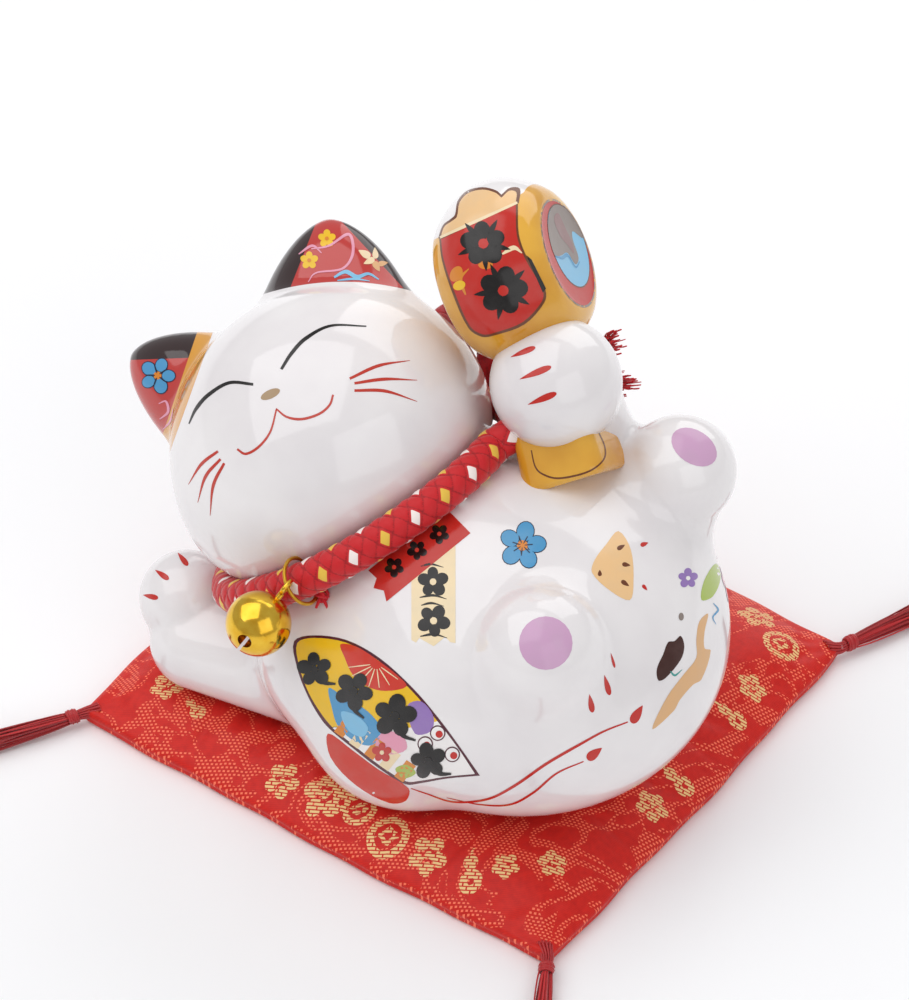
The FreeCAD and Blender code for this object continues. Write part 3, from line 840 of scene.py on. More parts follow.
cushionCover.data.vertices.foreach_get("co", spots)
spots = spots.reshape(-1, 3) / mm
field = np.full(len(spots), 9.0)
for motif in goldMotifs:
    field = np.minimum(field, motifField(spots[:, 0], spots[:, 1], *motif))
floatAttribute(cushionCover, "gold", np.where(spots[:, 2] > 1.6, field, 9.0))
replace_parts(cushionCover, "cushion_top_cover", "cushion_bottom_cover", "cushion_filling")
print("cushion")

# tassels

tassels = {
    "headings": {"front_right": -59.0, "front_left": -122.0, "back_right": 68.0, "back_left": 133.0},
    "knotOut": 2.55, "length": 27.0, "strands": 64, "thread": 0.17, "spread": 2.3,
}


def tasselThread():  # twisted rayon floss: silky, bright along each thread, dark between
    mat, place = newMaterial("red rayon floss")
    tone = addNode(mat, "Attribute", attribute_name="strand").outputs["Fac"]
    hair = addNode(mat, "TexNoise", {"Vector": place, "Scale": 2600.0, "Detail": 2.0})
    return finishMaterial(mat, {
        "Base Color": addNode(mat, "ValToRGB", {"Fac": tone}, [(0.1, "#860D14"), (0.9, "#C92A2E")]),
        "Roughness": 0.36, "Sheen Weight": 0.3, "Sheen Roughness": 0.3,
        "Normal": addNode(mat, "Bump", {"Height": hair, "Strength": 0.4, "Distance": 0.0002})})


floss = tasselThread()


def threadTone(piece, perThread):  # each thread a little lighter or darker than the next
    count = len(piece.data.vertices)
    tone = np.repeat(np.random.default_rng(5).uniform(0.2, 1.0, count // perThread + 1), perThread)[:count]
    piece.data.attributes["strand"].data.foreach_set("value", tone.astype(np.float32))


for corner, heading in tassels["headings"].items():
    sx = 1 if corner.endswith("right") else -1
    sy = 1 if corner.startswith("back") else -1
    out = np.array([math.cos(math.radians(heading)), math.sin(math.radians(heading)), 0.0])
    side, rise = np.array([-out[1], out[0], 0.0]), np.array([0, 0, 1.0])
    tip = np.array([sx * cushion["half"][0], sy * cushion["half"][1], 2.25])
    centre = tip + out * tassels["knotOut"]
    lines, thick = [], []
    inward = unit([-sx * 0.75, -sy * 0.66, 0.12])
    for n in range(14):  # neck: the stitching thread gathered from the corner to the knot
        a = 2 * math.pi * n / 14
        ring = side * math.cos(a) + rise * math.sin(a)
        lines.append(smoothLine([tip + inward * 2.6 + ring * 1.5, tip + ring, centre - out * 0.6 + ring * 0.8], 8))
        thick.append(0.24)
    for n in range(5):  # wrapped knot
        turn = []
        for t in np.linspace(0, 2 * math.pi, 22):
            slip = out * (-0.8 + 0.4 * n + 0.25 * math.sin(t))
            turn.append(centre + slip + (side * math.cos(t) + rise * math.sin(t)) * (1.15 + 0.12 * (n % 2)))
        lines.append(np.array(turn))
        thick.append(0.33)
    knotPiece = strandBundle("tassel_%s_wrapping" % corner, lines, thick, floss, "tassel_" + corner, 6)
    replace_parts(knotPiece, "tassel_%s_knot" % corner)
    lines, thick = [], []
    for n in range(tassels["strands"]):
        a = random.uniform(0, 2 * math.pi)
        q = math.sqrt(random.random())
        s, h = q * math.cos(a), q * math.sin(a)
        sway = [random.gauss(0, 0.16) for _ in range(4)]
        length = tassels["length"] * random.uniform(0.86, 1.0)
        line = []
        for t in (0.0, 0.12, 0.35, 0.6, 0.82, 1.0):
            wide = 0.85 + (tassels["spread"] - 0.85) * t ** 0.7
            height = 2.2 - 0.25 * t + h * min(wide, 1.9)
            bend = sway[0] * math.sin(3 * t + 1) + sway[1] * t
            line.append(centre + out * (0.6 + length * t) + side * (s * wide + bend * 2) +
                        rise * (height - 2.25 + sway[2] * 0.5))
        line = smoothLine(line, 12)
        line[:, 2] = np.maximum(line[:, 2], 0.2)
        lines.append(line)
        thick.append(tassels["thread"] * random.uniform(0.85, 1.25))
    skirt = strandBundle("tassel_%s_strands" % corner, lines, thick, floss, "tassel_" + corner, 5)
    threadTone(skirt, 5 * 12)
    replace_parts(skirt, "tassel_%s_skirt" % corner)
print("tassels")

# overglaze painting: thin enamel shapes laid on the glaze

enamelColours = {
    "black": "#14100F", "red": "#C4281F", "mouthRed": "#C23A2C", "brown": "#6B3A20", "noseTan": "#A98B68",
    "mauve": "#D0A4C6", "blue": "#4E98C8", "navy": "#1D2740", "orange": "#DC8428", "yellow": "#F0BF22",
    "cream": "#F3DDB4", "beige": "#EFC48E", "purple": "#9676B8", "green": "#A9BE52", "teal": "#3F9C94",
    "tan": "#E0B07C", "plum": "#54202E", "white": "#F4F0EE", "pink": "#E79CB4", "sky": "#7FC0E4",
    "rimRed": "#CF3A2C", "umber": "#93706E", "bark": "#3F1E18", "stone": "#8D8079",
}


def enamel(name, colour):  # fired overglaze enamel: glossy, a little uneven where the brush ran thin
    mat, place = newMaterial(name + " overglaze enamel")
    wash = addNode(mat, "TexNoise", {"Vector": place, "Scale": 330.0, "Detail": 3.0})
    pale = "#" + "".join("%02X" % int(int(colour[k:k + 2], 16) * 0.86 + 255 * 0.10) for k in (1, 3, 5))
    return finishMaterial(mat, {
        "Base Color": addNode(mat, "ValToRGB", {"Fac": wash}, [(0.42, colour), (0.85, pale)]),
        "Roughness": 0.17, "IOR": 1.42, "Coat Weight": 0.12, "Coat Roughness": 0.06,
        "Normal": addNode(mat, "Bump", {"Height": wash, "Strength": 0.02, "Distance": 0.0005})})


enamels = {name: enamel(name, colour) for name, colour in enamelColours.items()}


def brush(points, width, start=0.35, end=0.2):  # outline of one tapered stroke
    line = smoothLine(points, 9 * len(points))
    along = np.gradient(line, axis=0)
    along /= np.linalg.norm(along, axis=1, keepdims=True)
    side = np.column_stack([-along[:, 1], along[:, 0]])
    t = np.linspace(0, 1, len(line))
    half = width / 2 * np.minimum(np.minimum(start + (1 - start) * t / 0.3, 1), end + (1 - end) * (1 - t) / 0.5)
    return np.vstack([line + side * half[:, None], (line - side * half[:, None])[::-1]])


def rays(colour, layer, centre, inner, outer, angles, *stroke):  # fine strokes fanned out from a point
    spokes = [np.array([math.cos(a), math.sin(a)]) for a in np.radians(angles)]
    return [(colour, layer, brush([centre + spoke * inner, centre + spoke * outer], *stroke)) for spoke in spokes]


def turned(x, y, u, v, turn):
    c, s = math.cos(math.radians(turn)), math.sin(math.radians(turn))
    return np.column_stack([x + u * c - v * s, y + u * s + v * c])


def oval(x, y, rx, ry=None, turn=0.0, count=24):
    a = np.linspace(0, 2 * math.pi, count, endpoint=False)
    return turned(x, y, rx * np.cos(a), (ry or rx) * np.sin(a), turn)


def drop(x, y, length, width, turn):  # bud or claw mark, pointed at its far end
    a = np.linspace(0, 2 * math.pi, 22, endpoint=False)
    v = width * 0.62 * np.sin(a) * ((1.12 - np.cos(a)) / 2) ** 0.6
    return turned(x, y, length / 2 * np.cos(a), v, turn)


def patch(points, soft=True):  # closed shape through a few points
    p = np.array(points, float)
    if not soft:
        return p
    n = len(p)
    out = []
    for i in range(n):
        a, b, c, d = p[i - 1], p[i], p[(i + 1) % n], p[(i + 2) % n]
        before, here, after = (np.linalg.norm(v) for v in (b - a, c - b, d - c))
        leave = (c - a) * here / (before + here)  # slopes scaled to each span, so close points make a clean corner
        arrive = (d - b) * here / (here + after)
        for t in (0.0, 0.25, 0.5, 0.75):
            out.append((2 * t ** 3 - 3 * t * t + 1) * b + (t ** 3 - 2 * t * t + t) * leave +
                       (3 * t * t - 2 * t ** 3) * c + (t ** 3 - t * t) * arrive)
    return np.array(out)


def blossom(x, y, size, petal, layer, line=None, eyeColour=None, turn=90.0, count=5):  # round petals about an eye
    shapes = []
    outlined = [(line, layer, 0.0), (petal, layer + 1, 0.17 / size)] if line else [(petal, layer, 0.0)]
    for k in range(count):
        a = math.radians(turn + 360 * k / count)
        px, py = x + 0.60 * size * math.cos(a), y + 0.60 * size * math.sin(a)
        grow = size * (1 + 0.07 * math.sin(3.0 * k + x))
        for colour, level, inset in outlined:
            shapes.append((colour, level, oval(px, py, (0.43 - inset) * grow, (0.38 - inset) * grow,
                                               math.degrees(a), 16)))
    if eyeColour:
        shapes.append((eyeColour, layer + 2, oval(x, y, 0.22 * size)))
    return shapes


def insideShape(points, outline):  # even-odd test
    x, y = points[:, 0], points[:, 1]
    hit = np.zeros(len(points), bool)
    for a, b in zip(outline, np.roll(outline, -1, 0)):
        if abs(a[1] - b[1]) < 1e-9:
            continue
        hit ^= ((a[1] > y) != (b[1] > y)) & (x < (b[0] - a[0]) * (y - a[1]) / (b[1] - a[1]) + a[0])
    return hit


def filledShape(outline, spacing):  # triangles over a closed outline
    edge = []
    for a, b in zip(outline, np.roll(outline, -1, 0)):
        n = max(1, int(math.ceil(np.linalg.norm(b - a) / spacing)))
        edge += [a + (b - a) * k / n for k in range(n)]
    edge = np.array(edge)
    low, high = edge.min(0), edge.max(0)
    gx, gy = np.meshgrid(np.arange(low[0], high[0], spacing), np.arange(low[1], high[1], spacing * 0.87))
    gx = gx + 0.5 * spacing * (np.arange(gx.shape[0]) % 2)[:, None]
    inner = np.column_stack([gx.ravel(), gy.ravel()])
    if len(inner):
        inner = inner[insideShape(inner, edge)]
    if len(inner):
        near = np.linalg.norm(inner[:, None] - edge[None], axis=2).min(1)
        inner = inner[near > 0.42 * spacing]
    every = np.vstack([edge, inner]) if len(inner) else edge
    found = delaunay_2d_cdt([Vector(p) for p in every], [], [list(range(len(edge)))], 1, 1e-6)
    return np.array([tuple(v) for v in found[0]]), [tuple(f) for f in found[2]]


def treeOf(points, faces):
    return BVHTree.FromPolygons([tuple(p) for p in points], [tuple(int(i) for i in f) for f in faces])


lifted = {"first": 0.035, "each": 0.022}  # mm of the lowest layer off the glaze, and of each one above it
painterView = {"origin": np.array(view["target"]), "u": sideways, "v": upward, "eye": eye}
endUp = unit(upward - barrelAxis * (upward @ barrelAxis))
barrelEnd = {"origin": malletCentre + barrelAxis * 20, "u": np.cross(endUp, barrelAxis), "v": endUp,
             "aim": -barrelAxis}
glazed = {
    "body": (treeOf(bodyPoints, bodyFaces), bodyForm),
    "head": (treeOf(headPoints, headFaces), headForm),
    "barrel": (treeOf(barrelPoints, barrelFaces), barrelForm),
    "handle": (treeOf(handlePoints, handleFaces), handleForm),
}


def paintOn(name, plane, target, shapes, spacing=1.1):  # shapes cast from a plane onto the glaze
    tree, form = glazed[target]
    points, lifts, faces, colours, used = [], [], [], [], []
    for colour, layer, outline in shapes:
        if colour not in used:
            used.append(colour)
        flat, triangles = filledShape(np.asarray(outline, float), spacing)
        places = []
        for s, t in flat:
            start = plane["origin"] + s * plane["u"] + t * plane["v"]
            if "eye" in plane:
                start, aim = plane["eye"], unit(start - plane["eye"])
            else:
                aim = plane["aim"]
            hit = tree.ray_cast(Vector(start), Vector(aim))[0]
            places.append(None if hit is None else np.array(hit))
        base = len(points)
        order = {}
        for k, place in enumerate(places):
            if place is not None:
                order[k] = base + len(order)
                points.append(place)
                lifts.append(lifted["first"] + lifted["each"] * layer)
        for tri in triangles:
            if any(places[k] is None for k in tri):
                continue
            for a, b in zip(tri, tri[1:] + tri[:1]):  # left out where it would bridge two surfaces
                if np.linalg.norm(places[a] - places[b]) > 5 * np.linalg.norm(flat[a] - flat[b]) + 0.3:
                    break
            else:
                faces.append(tuple(order[k] for k in tri))
                colours.append(used.index(colour))
    points = np.array(points)
    normals = outwardOf(form, points)
    laid = points + normals * np.array(lifts)[:, None]
    facing = []
    for f in faces:
        n = np.cross(laid[f[1]] - laid[f[0]], laid[f[2]] - laid[f[0]])
        facing.append(f if n @ normals[f[0]] > 0 else tuple(reversed(f)))
    piece = meshPiece(name, laid, facing, [enamels[c] for c in used], "cat")
    paintFaces(piece, colours)
    piece.data.normals_split_custom_set_from_vertices([tuple(n) for n in normals])
    return piece


faceMarks = [  # the painter's plane, mm right and up of its centre
    ("black", 0, brush([(-33.4, 25.2), (-31.4, 28.3), (-28.6, 31.2), (-23.8, 33.6), (-17.0, 33.5)],
                       0.72, 0.75, 0.35)),
    ("black", 0, brush([(-51.2, 14.7), (-49.8, 17.6), (-47.4, 20.3), (-43.4, 22.6), (-38.8, 22.3)],
                       0.72, 0.35, 0.75)),
    ("noseTan", 0, oval(-35.5, 20.4, 2.0, 0.85, 25)),
    ("mouthRed", 0, brush([(-41.9, 9.8), (-40.2, 8.9), (-37.7, 10.3), (-35.5, 13.2), (-34.3, 17.6)], 0.5, 0.8, 0.6)),
    ("mouthRed", 0, brush([(-34.4, 17.6), (-32.3, 16.0), (-29.4, 15.6), (-26.1, 16.6), (-24.1, 18.3), (-23.4, 20.3)],
                          0.5, 0.6, 0.8)),
]
for points in (((-20.2, 23.4), (-14.6, 25.9), (-8.6, 26.9)), ((-19.3, 22.5), (-13.4, 23.3), (-7.2, 23.1)),
               ((-19.3, 21.1), (-13.4, 21.0), (-7.2, 19.0)), ((-45.6, 9.4), (-48.8, 6.9), (-51.3, 3.0)),
               ((-45.1, 7.9), (-48.0, 4.5), (-49.5, -0.5)), ((-44.4, 7.1), (-46.5, 2.8), (-47.1, -3.0))):
    faceMarks.append(("mouthRed", 0, brush(points, 0.62, 0.8, 0.15)))
paintOn("painted_face", painterView, "head", faceMarks, spacing=0.8)

earMarks = []  # blossoms and curls on the painted ears
for x, y, size, colour in ((-24.6, 50.4, 1.7, "yellow"), (-28.0, 46.2, 1.7, "yellow")):
    earMarks += blossom(x, y, size, colour, 0, None, "orange")
earMarks += [
    ("pink", 1, brush([(-27.6, 48.4), (-24.2, 49.0), (-20.4, 51.2), (-19.6, 47.6), (-21.6, 44.6), (-26.6, 43.8),
                       (-28.2, 42.0)], 0.55, 0.4, 0.3)),
    ("pink", 1, brush([(-30.0, 47.4), (-27.4, 49.0), (-25.6, 47.6)], 0.5, 0.4, 0.3)),
    ("cream", 1, drop(-17.4, 47.5, 2.6, 1.5, 150)), ("cream", 1, drop(-16.5, 46.0, 2.3, 1.3, 205)),
    ("cream", 1, drop(-15.3, 47.6, 2.2, 1.2, 95)), ("tan", 1, drop(-15.0, 45.0, 2.2, 1.3, 300)),
    ("tan", 1, drop(-13.8, 45.6, 1.9, 1.1, 10)),
    ("sky", 1, brush([(-23.2, 42.9), (-21.0, 44.0), (-18.8, 43.0), (-16.6, 43.6), (-14.6, 42.5)], 0.8, 0.5, 0.3)),
    ("sky", 1, brush([(-22.6, 42.3), (-19.4, 42.6), (-16.4, 42.2)], 0.45, 0.4, 0.3)),
    ("pink", 1, brush([(-56.8, 15.6), (-55.2, 17.0), (-55.6, 19.0), (-57.0, 18.6)], 0.5, 0.4, 0.3)),
    ("pink", 1, brush([(-56.2, 13.6), (-54.8, 15.2), (-54.2, 17.6)], 0.4, 0.4, 0.3)),
]
earMarks += blossom(-57.2, 24.0, 3.5, "blue", 1, "navy", "orange", 70)
earMarks += rays("navy", 4, (-57.2, 24.0), 0.5, 2.3, 106 + 72 * np.arange(5), 0.28, 0.6, 0.6)
paintOn("painted_ear_flowers", painterView, "head", earMarks, spacing=0.6)

pawMarks = [
    ("red", 0, drop(-52.4, -11.4, 3.2, 1.1, 128)), ("red", 0, drop(-56.4, -14.4, 3.2, 1.15, 145)),
    ("red", 0, drop(-58.6, -18.6, 3.0, 1.1, 168)),
    ("red", 0, drop(13.2, 28.5, 5.2, 1.15, 202)), ("red", 0, drop(15.6, 24.5, 6.6, 1.35, 202)),
    ("red", 0, drop(16.9, 19.5, 6.0, 1.35, 202)),
    ("mauve", 0, oval(17.6, -27.6, 5.15)), ("mauve", 0, oval(46.2, 10.2, 4.8, 3.2, -33)),
]
paintOn("painted_claws_and_pads", painterView, "body", pawMarks, spacing=0.8)

bellyMarks = blossom(13.1, -8.8, 4.6, "blue", 0, "navy", "orange", 78)
bellyMarks += rays("navy", 3, (13.1, -8.8), 0.4, 2.0, 60 + 51 * np.arange(7), 0.22, 0.5, 0.9)
bellyMarks += [
    ("beige", 0, patch([(31.6, -6.0), (34.0, -9.6), (34.5, -16.0), (33.8, -19.3), (30.0, -17.5), (26.5, -14.0),
                        (27.0, -11.6), (29.2, -8.6)])),
    ("brown", 1, drop(32.1, -9.1, 1.7, 0.9, 30)), ("brown", 1, drop(33.1, -12.5, 1.6, 0.9, -10)),
    ("brown", 1, drop(28.0, -14.1, 1.2, 0.8, 90)), ("brown", 1, drop(32.9, -16.1, 1.8, 0.9, -35)),
    ("red", 0, drop(36.6, -8.5, 1.6, 0.9, 20)), ("red", 0, drop(36.7, -16.9, 1.4, 0.7, -50)),
    ("green", 0, patch([(50.4, -12.2), (51.3, -15.0), (49.8, -18.6), (47.6, -19.3), (48.1, -15.6)])),
    ("stone", 0, oval(43.7, -22.5, 0.5, 0.75)),
    ("bark", 0, patch([(41.2, -27.4), (42.4, -27.2), (43.6, -26.2), (44.3, -28.2), (43.6, -30.8), (40.6, -34.4),
                       (39.3, -34.8), (39.0, -32.6), (40.2, -29.8)])),
    ("teal", 0, brush([(41.6, -33.0), (42.5, -33.8), (43.9, -32.7)], 0.4)),
    ("tan", 0, patch([(48.9, -21.9), (47.2, -23.4), (46.6, -27.0), (46.6, -30.4), (44.2, -33.6), (41.0, -37.9),
                      (38.1, -44.2), (42.3, -40.6), (43.4, -38.6), (46.0, -35.6), (47.6, -34.6), (49.4, -29.0),
                      (48.2, -28.6), (48.2, -25.4)])),
    ("blue", 1, brush([(49.9, -19.9), (50.8, -21.2), (49.8, -22.6), (50.4, -24.0)], 0.35)),
    ("red", 0, drop(30.5, -30.9, 3.0, 0.55, 105)), ("red", 0, drop(29.4, -35.7, 4.0, 1.15, 105)),
    ("red", 0, drop(26.3, -39.2, 3.6, 1.2, 100)),
    ("red", 0, drop(35.2, -41.3, 4.0, 1.9, 58)), ("red", 0, drop(27.0, -48.9, 3.6, 1.9, 38)),
    ("red", 0, brush([(33.4, -42.8), (28.8, -44.6), (24.2, -47.1), (17.8, -50.8), (11.4, -55.2), (6.2, -57.7),
                      (-0.2, -58.2), (-5.4, -56.6), (-8.4, -55.6)], 0.55, 0.5, 0.3)),
    ("red", 0, brush([(24.9, -50.4), (19.7, -52.7), (15.2, -56.4), (10.7, -58.7), (4.9, -58.7), (-1.5, -57.4)],
                     0.45, 0.5, 0.3)),
]
bellyMarks += blossom(45.0, -15.1, 1.9, "purple", 0, None, "white")
bellyMarks += [  # two ribbons that carry small blossoms
    ("cream", 0, patch([(-8.3, -14.0), (0.2, -8.6), (0.2, -27.6), (-0.8, -27.4), (-1.8, -26.4), (-4.0, -28.2),
                        (-6.8, -26.6), (-7.4, -27.5), (-8.3, -27.0)], False)),
    ("red", 1, patch([(-1.8, -1.4), (3.1, -6.4), (-13.1, -19.6), (-13.6, -17.5), (-15.6, -17.0), (-15.0, -15.1),
                      (-16.6, -13.6)], False)),
]
for x, y, size, turn in ((-4.1, -15.8, 2.9, 20), (-4.0, -23.3, 3.1, 60)):
    bellyMarks += blossom(x, y, size, "black", 1, None, "cream", turn)
    bellyMarks += [("black", 1, brush([(x - 2.6, y - 3.0), (x, y - 2.6), (x + 2.6, y - 3.3)], 0.5)),
                   ("black", 1, brush([(x - 2.4, y + 3.0), (x - 0.4, y + 3.4), (x + 2.0, y + 2.8)], 0.45))]
for x, y in ((-11.6, -13.0), (-7.2, -9.7), (-2.9, -6.6)):
    bellyMarks += blossom(x, y, 1.9, "black", 2, None, "rimRed", 125)
paintOn("painted_belly", painterView, "body", bellyMarks, spacing=0.6)

fanMarks = [
    ("plum", 0, patch([(-30.9, -27.2), (-27.2, -26.1), (-20.8, -27.0), (-14.4, -30.5), (-7.9, -36.4), (-2.8, -42.4),
                       (1.1, -47.7), (4.75, -52.9), (4.9, -53.1), (4.6, -53.15), (-1.5, -53.7), (-6.6, -54.6),
                       (-9.4, -54.8), (-15.0, -51.4), (-19.5, -47.9), (-24.0, -44.2), (-26.0, -41.8),
                       (-28.5, -37.3), (-30.4, -32.1)])),
    ("yellow", 1, patch([(-30.3, -27.6), (-27.2, -26.6), (-20.9, -27.5), (-14.7, -30.9), (-8.3, -36.7), (-3.3, -42.6),
                         (-3.4, -42.7), (-9.6, -44.0), (-23.3, -43.7), (-23.5, -43.8), (-25.5, -41.4),
                         (-28.1, -37.1), (-29.9, -32.0)])),
    ("white", 1, patch([(-3.3, -42.6), (0.6, -47.7), (3.85, -52.6), (3.9, -52.75), (3.7, -52.8), (-1.6, -53.3),
                        (-6.7, -54.1), (-9.3, -54.2), (-14.7, -50.9), (-19.2, -47.4), (-23.4, -44.0),
                        (-23.2, -43.8), (-9.6, -44.0), (-3.5, -42.7)])),
    ("rimRed", 2, patch([(-22.0, -27.9), (-21.2, -30.2), (-19.6, -33.6), (-16.6, -36.0), (-13.2, -36.8),
                         (-9.2, -35.9), (-11.2, -33.6), (-14.6, -31.0), (-18.0, -28.7), (-20.4, -27.8)])),
    ("blue", 2, patch([(-24.2, -36.2), (-21.6, -37.8), (-16.6, -40.8), (-14.0, -44.6), (-15.8, -47.2),
                       (-19.0, -46.6), (-22.4, -43.6), (-23.6, -40.0)])),
    ("sky", 3, patch([(-21.8, -40.8), (-19.0, -41.4), (-16.6, -43.8), (-17.6, -45.6), (-20.4, -44.4)])),
    ("purple", 2, patch([(-9.0, -39.6), (-6.4, -38.8), (-4.0, -41.8), (-4.6, -44.6), (-7.6, -45.0)])),
    ("pink", 2, patch([(-13.6, -44.6), (-10.0, -45.4), (-9.2, -48.0), (-12.8, -49.0), (-15.2, -47.2)])),
    ("green", 2, patch([(-11.4, -51.8), (-9.2, -51.0), (-7.4, -52.6), (-9.8, -53.6)])),
    ("rimRed", 0, patch([(-24.4, -45.0), (-23.9, -49.6), (-19.0, -55.0), (-12.6, -58.4), (-9.4, -58.0), (-8.8, -55.6),
                         (-14.6, -52.0), (-19.6, -48.3)])),
]
fanMarks += rays("cream", 3, (-15.0, -31.6), (1.2, 1.0), (5.4, 4.6), 188 + 22 * np.arange(7), 0.22, 0.6, 0.6)
for k in range(5):  # slanted stripes along the lower edge
    x, y = -23.2 + 2.9 * k, -44.6 - 2.15 * k
    fanMarks.append((("orange", "cream")[k % 2], 2, patch([(x, y), (x + 1.7, y - 1.2), (x + 4.2, y + 1.9),
                                                           (x + 2.4, y + 3.1)], False)))
fanMarks += blossom(-13.9, -48.6, 1.9, "red", 4, None, "cream")
for x, y in ((-3.2, -44.9), (-0.4, -49.0), (-5.6, -47.0)):
    fanMarks += [("plum", 3, oval(x, y, 1.5)), ("white", 4, oval(x, y, 1.25)),
                 ("red", 5, oval(x + 0.3, y - 0.2, 0.7))]
for x, y, size, turn in ((-26.9, -32.6, 3.3, 95), (-19.3, -36.8, 3.7, 60), (-11.4, -41.6, 4.1, 80),
                         (-5.0, -50.2, 3.4, 100)):
    fanMarks += blossom(x, y, size, "black", 6, None, "black", turn)
    a = math.radians(turn + 210)
    fanMarks.append(("black", 6, brush([(x, y), (x + 0.9 * size * math.cos(a), y + 0.9 * size * math.sin(a)),
                                        (x + 1.5 * size * math.cos(a + 0.35), y + 1.5 * size * math.sin(a + 0.35))],
                                       0.9, 1.0, 0.4)))
paintOn("painted_fan", painterView, "body", fanMarks, spacing=1.0)

malletMarks = [
    ("brown", 0, patch([(-3.1, 50.5), (-2.2, 53.0), (-0.7, 54.2), (0.1, 55.0), (0.6, 57.6), (2.4, 59.6), (5.4, 60.3),
                        (8.0, 59.7), (9.0, 58.9), (9.1, 58.9), (10.7, 60.2), (12.6, 60.0), (12.4, 57.3),
                        (12.3, 57.2), (-3.0, 50.45)])),
    ("beige", 1, patch([(-2.6, 50.7), (-1.9, 52.7), (-0.4, 53.8), (0.5, 54.6), (1.0, 57.3), (2.6, 59.1), (5.4, 59.8),
                        (7.9, 59.2), (9.0, 58.3), (9.1, 58.3), (10.6, 59.6), (11.9, 59.3), (11.8, 57.4),
                        (11.7, 57.3), (-2.5, 50.65)])),
    ("brown", 1, patch([(12.2, 57.3), (12.4, 51.2), (13.9, 46.9), (17.5, 40.5), (17.3, 38.1), (13.5, 33.9),
                        (7.8, 31.8), (5.3, 31.5), (2.7, 33.2), (-0.4, 40.0), (-2.4, 46.3), (-2.9, 50.4),
                        (-2.85, 50.5), (12.15, 57.35)])),
    ("red", 2, patch([(11.8, 56.9), (12.0, 51.0), (13.5, 46.7), (17.0, 40.4), (16.8, 38.3), (13.2, 34.4), (7.7, 32.3),
                      (5.5, 32.0), (3.1, 33.5), (0.1, 40.1), (-2.0, 46.3), (-2.5, 50.2), (-2.45, 50.3),
                      (11.75, 56.95)])),
    ("cream", 3, brush([(-2.7, 50.6), (4.6, 53.9), (12.1, 57.3)], 0.6, 0.8, 0.8)),
    ("black", 3, patch([(13.8, 47.2), (14.8, 46.4), (17.6, 40.8), (17.0, 40.0)], False)),
    ("orange", 3, oval(0.4, 43.6, 1.6, 1.1, 60)), ("yellow", 4, oval(1.0, 41.4, 1.2, 0.9, 20)),
    ("orange", 3, oval(6.0, 45.4, 1.4, 0.9, 0)), ("cream", 3, brush([(9.2, 47.4), (11.4, 48.6), (13.0, 47.6)], 0.9)),
    ("orange", 3, brush([(2.2, 39.6), (1.2, 42.6), (2.8, 44.6)], 0.8)),
]
for x, y, size, turn in ((5.6, 49.4, 4.3, 96), (9.4, 40.4, 4.6, 80)):
    malletMarks += blossom(x, y, size, "black", 4, None, "red", turn)
    for k in range(5):  # pointed sepals between the petals
        a = math.radians(turn + 36 + 72 * k)
        malletMarks.append(("black", 4, drop(x + 0.86 * size * math.cos(a), y + 0.86 * size * math.sin(a),
                                             0.75 * size, 0.26 * size, math.degrees(a))))
paintOn("painted_mallet_panel", painterView, "barrel", malletMarks, 0.5)

endMarks = [
    ("stone", 0, oval(0, 0, 10.2, None, 0, 48)), ("red", 1, oval(0, 0, 9.8, None, 0, 48)),
    ("brown", 2, oval(1.6, 1.5, 7.9, None, 0, 40)), ("sky", 3, oval(1.6, 1.5, 7.65, None, 0, 40)),
    ("stone", 4, patch([(-2.4, 8.0), (1.6, 9.2), (5.6, 8.1), (8.3, 5.4), (9.0, 3.4), (8.6, 3.2), (5.4, 4.4),
                        (4.6, 2.8), (4.9, -0.6), (2.6, -1.9), (0.6, 0.2), (-2.6, -0.4), (-5.9, -0.6), (-5.8, 3.9)])),
    ("blue", 5, brush([(-5.7, -0.7), (-2.6, -0.9), (0.4, -0.3), (2.4, -2.4), (5.0, -1.3)], 0.6)),
    ("umber", 5, patch([(-1.6, 6.4), (1.0, 7.6), (2.6, 5.0), (3.9, 2.2), (3.4, 0.2), (1.6, 1.6), (-0.8, 3.4)])),
]
paintOn("painted_mallet_end", barrelEnd, "barrel", endMarks, 0.9)
paintOn("painted_handle_line", painterView, "handle", [
    ("brown", 0, brush([(14.8, 9.6), (15.6, 6.4), (17.2, 4.9), (20.3, 4.2), (25.6, 5.4), (28.6, 7.6), (29.0, 10.1),
                        (27.6, 13.5)], 0.35, 0.6, 0.6))], 0.8)

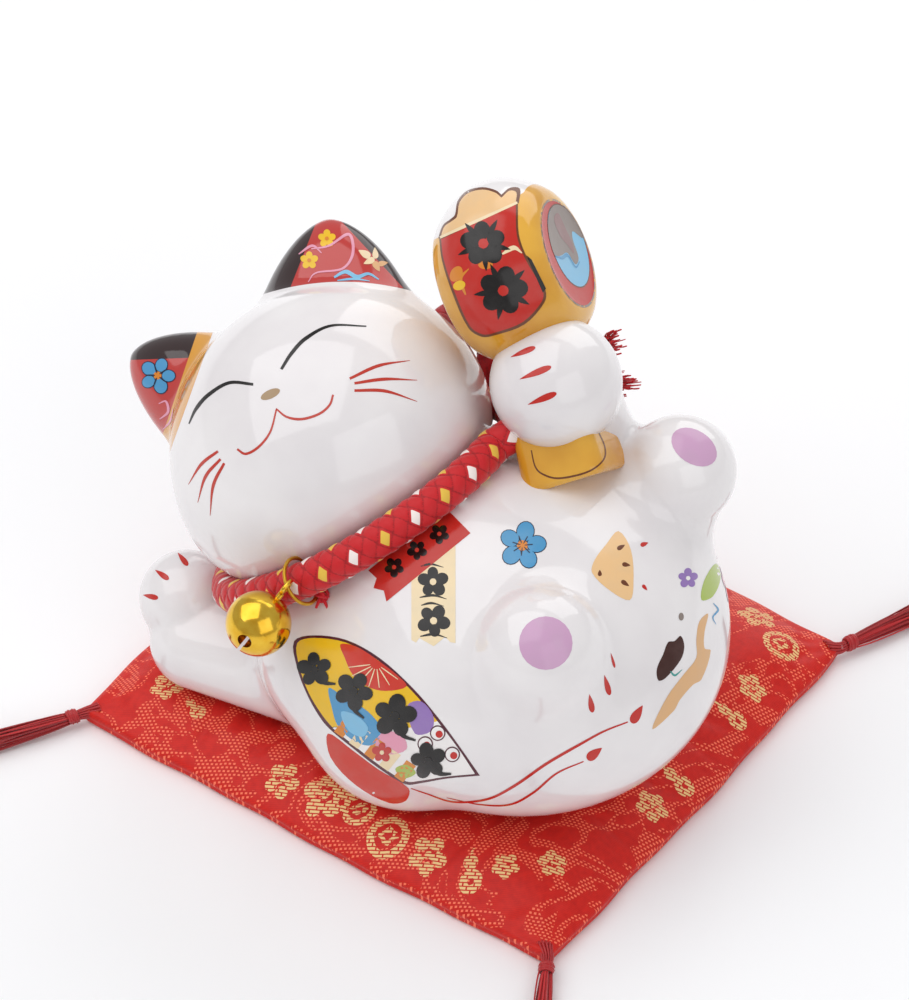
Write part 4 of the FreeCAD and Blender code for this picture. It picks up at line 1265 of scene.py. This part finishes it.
binding = {"place": (-25.0, -18.6), "proud": 0.9, "radius": 1.15, "thread": 0.42}  # the knot that ties off the cord
aim = unit(painterView["origin"] + binding["place"][0] * sideways + binding["place"][1] * upward - eye)
spot, face = glazed["body"][0].ray_cast(Vector(eye), Vector(aim))[:2]
middle = np.array(spot) + binding["proud"] * np.array(face)
loops = []
a = np.linspace(0, 2 * math.pi, 20)[:, None]
for tiltA, tiltB in ((0.2, 0.1), (1.1, 0.9), (-0.9, 1.8)):
    first = sideways * math.cos(tiltA) + backward * math.sin(tiltA)
    second = upward * math.cos(tiltB) + np.cross(first, upward) * math.sin(tiltB)
    loops.append(middle + binding["radius"] * (first * np.cos(a) + second * np.sin(a)))
for drift in (-0.6, 0.7):
    loops.append(smoothLine([middle, middle + 0.8 * drift * sideways - 1.1 * upward + 0.3 * backward,
                             middle + 1.6 * drift * sideways - 2.3 * upward + 0.2 * backward], 8))
bindingKnot = strandBundle("collar_binding_knot", loops, [binding["thread"]] * 5, redBraid, "cat", 7)

backView = {"origin": np.array([17.0, -9.0, 35.0]) + 90 * unit([0.25, 1.0, 0.25]),
            "u": unit([-1.0, 0.25, 0.0]), "v": unit([-0.06, -0.24, 1.0]), "aim": -unit([0.25, 1.0, 0.25])}
backMarks = [  # the side that faces away carries a few loose petals and one flower
    ("tan", 0, brush([(-30.0, -14.0), (-22.0, -8.0), (-12.0, -6.0), (-2.0, 1.0)], 1.6, 0.5, 0.2)),
    ("red", 1, drop(-10.0, -14.0, 3.8, 1.4, 70)), ("red", 1, drop(2.0, -12.0, 3.6, 1.3, 110)),
    ("red", 1, drop(12.0, -6.0, 3.4, 1.2, 60)), ("green", 1, drop(-16.0, -2.0, 3.6, 1.6, 140)),
    ("green", 1, drop(-5.0, 3.4, 3.2, 1.5, 60)),
]
backMarks += blossom(8.0, 6.0, 4.2, "blue", 0, "navy", "orange", 78)
backMarks += blossom(-22.0, -2.0, 3.2, "pink", 0, "plum", "yellow", 30)
paintOn("painted_back", backView, "body", backMarks, spacing=1.0)
print("enamel painting")
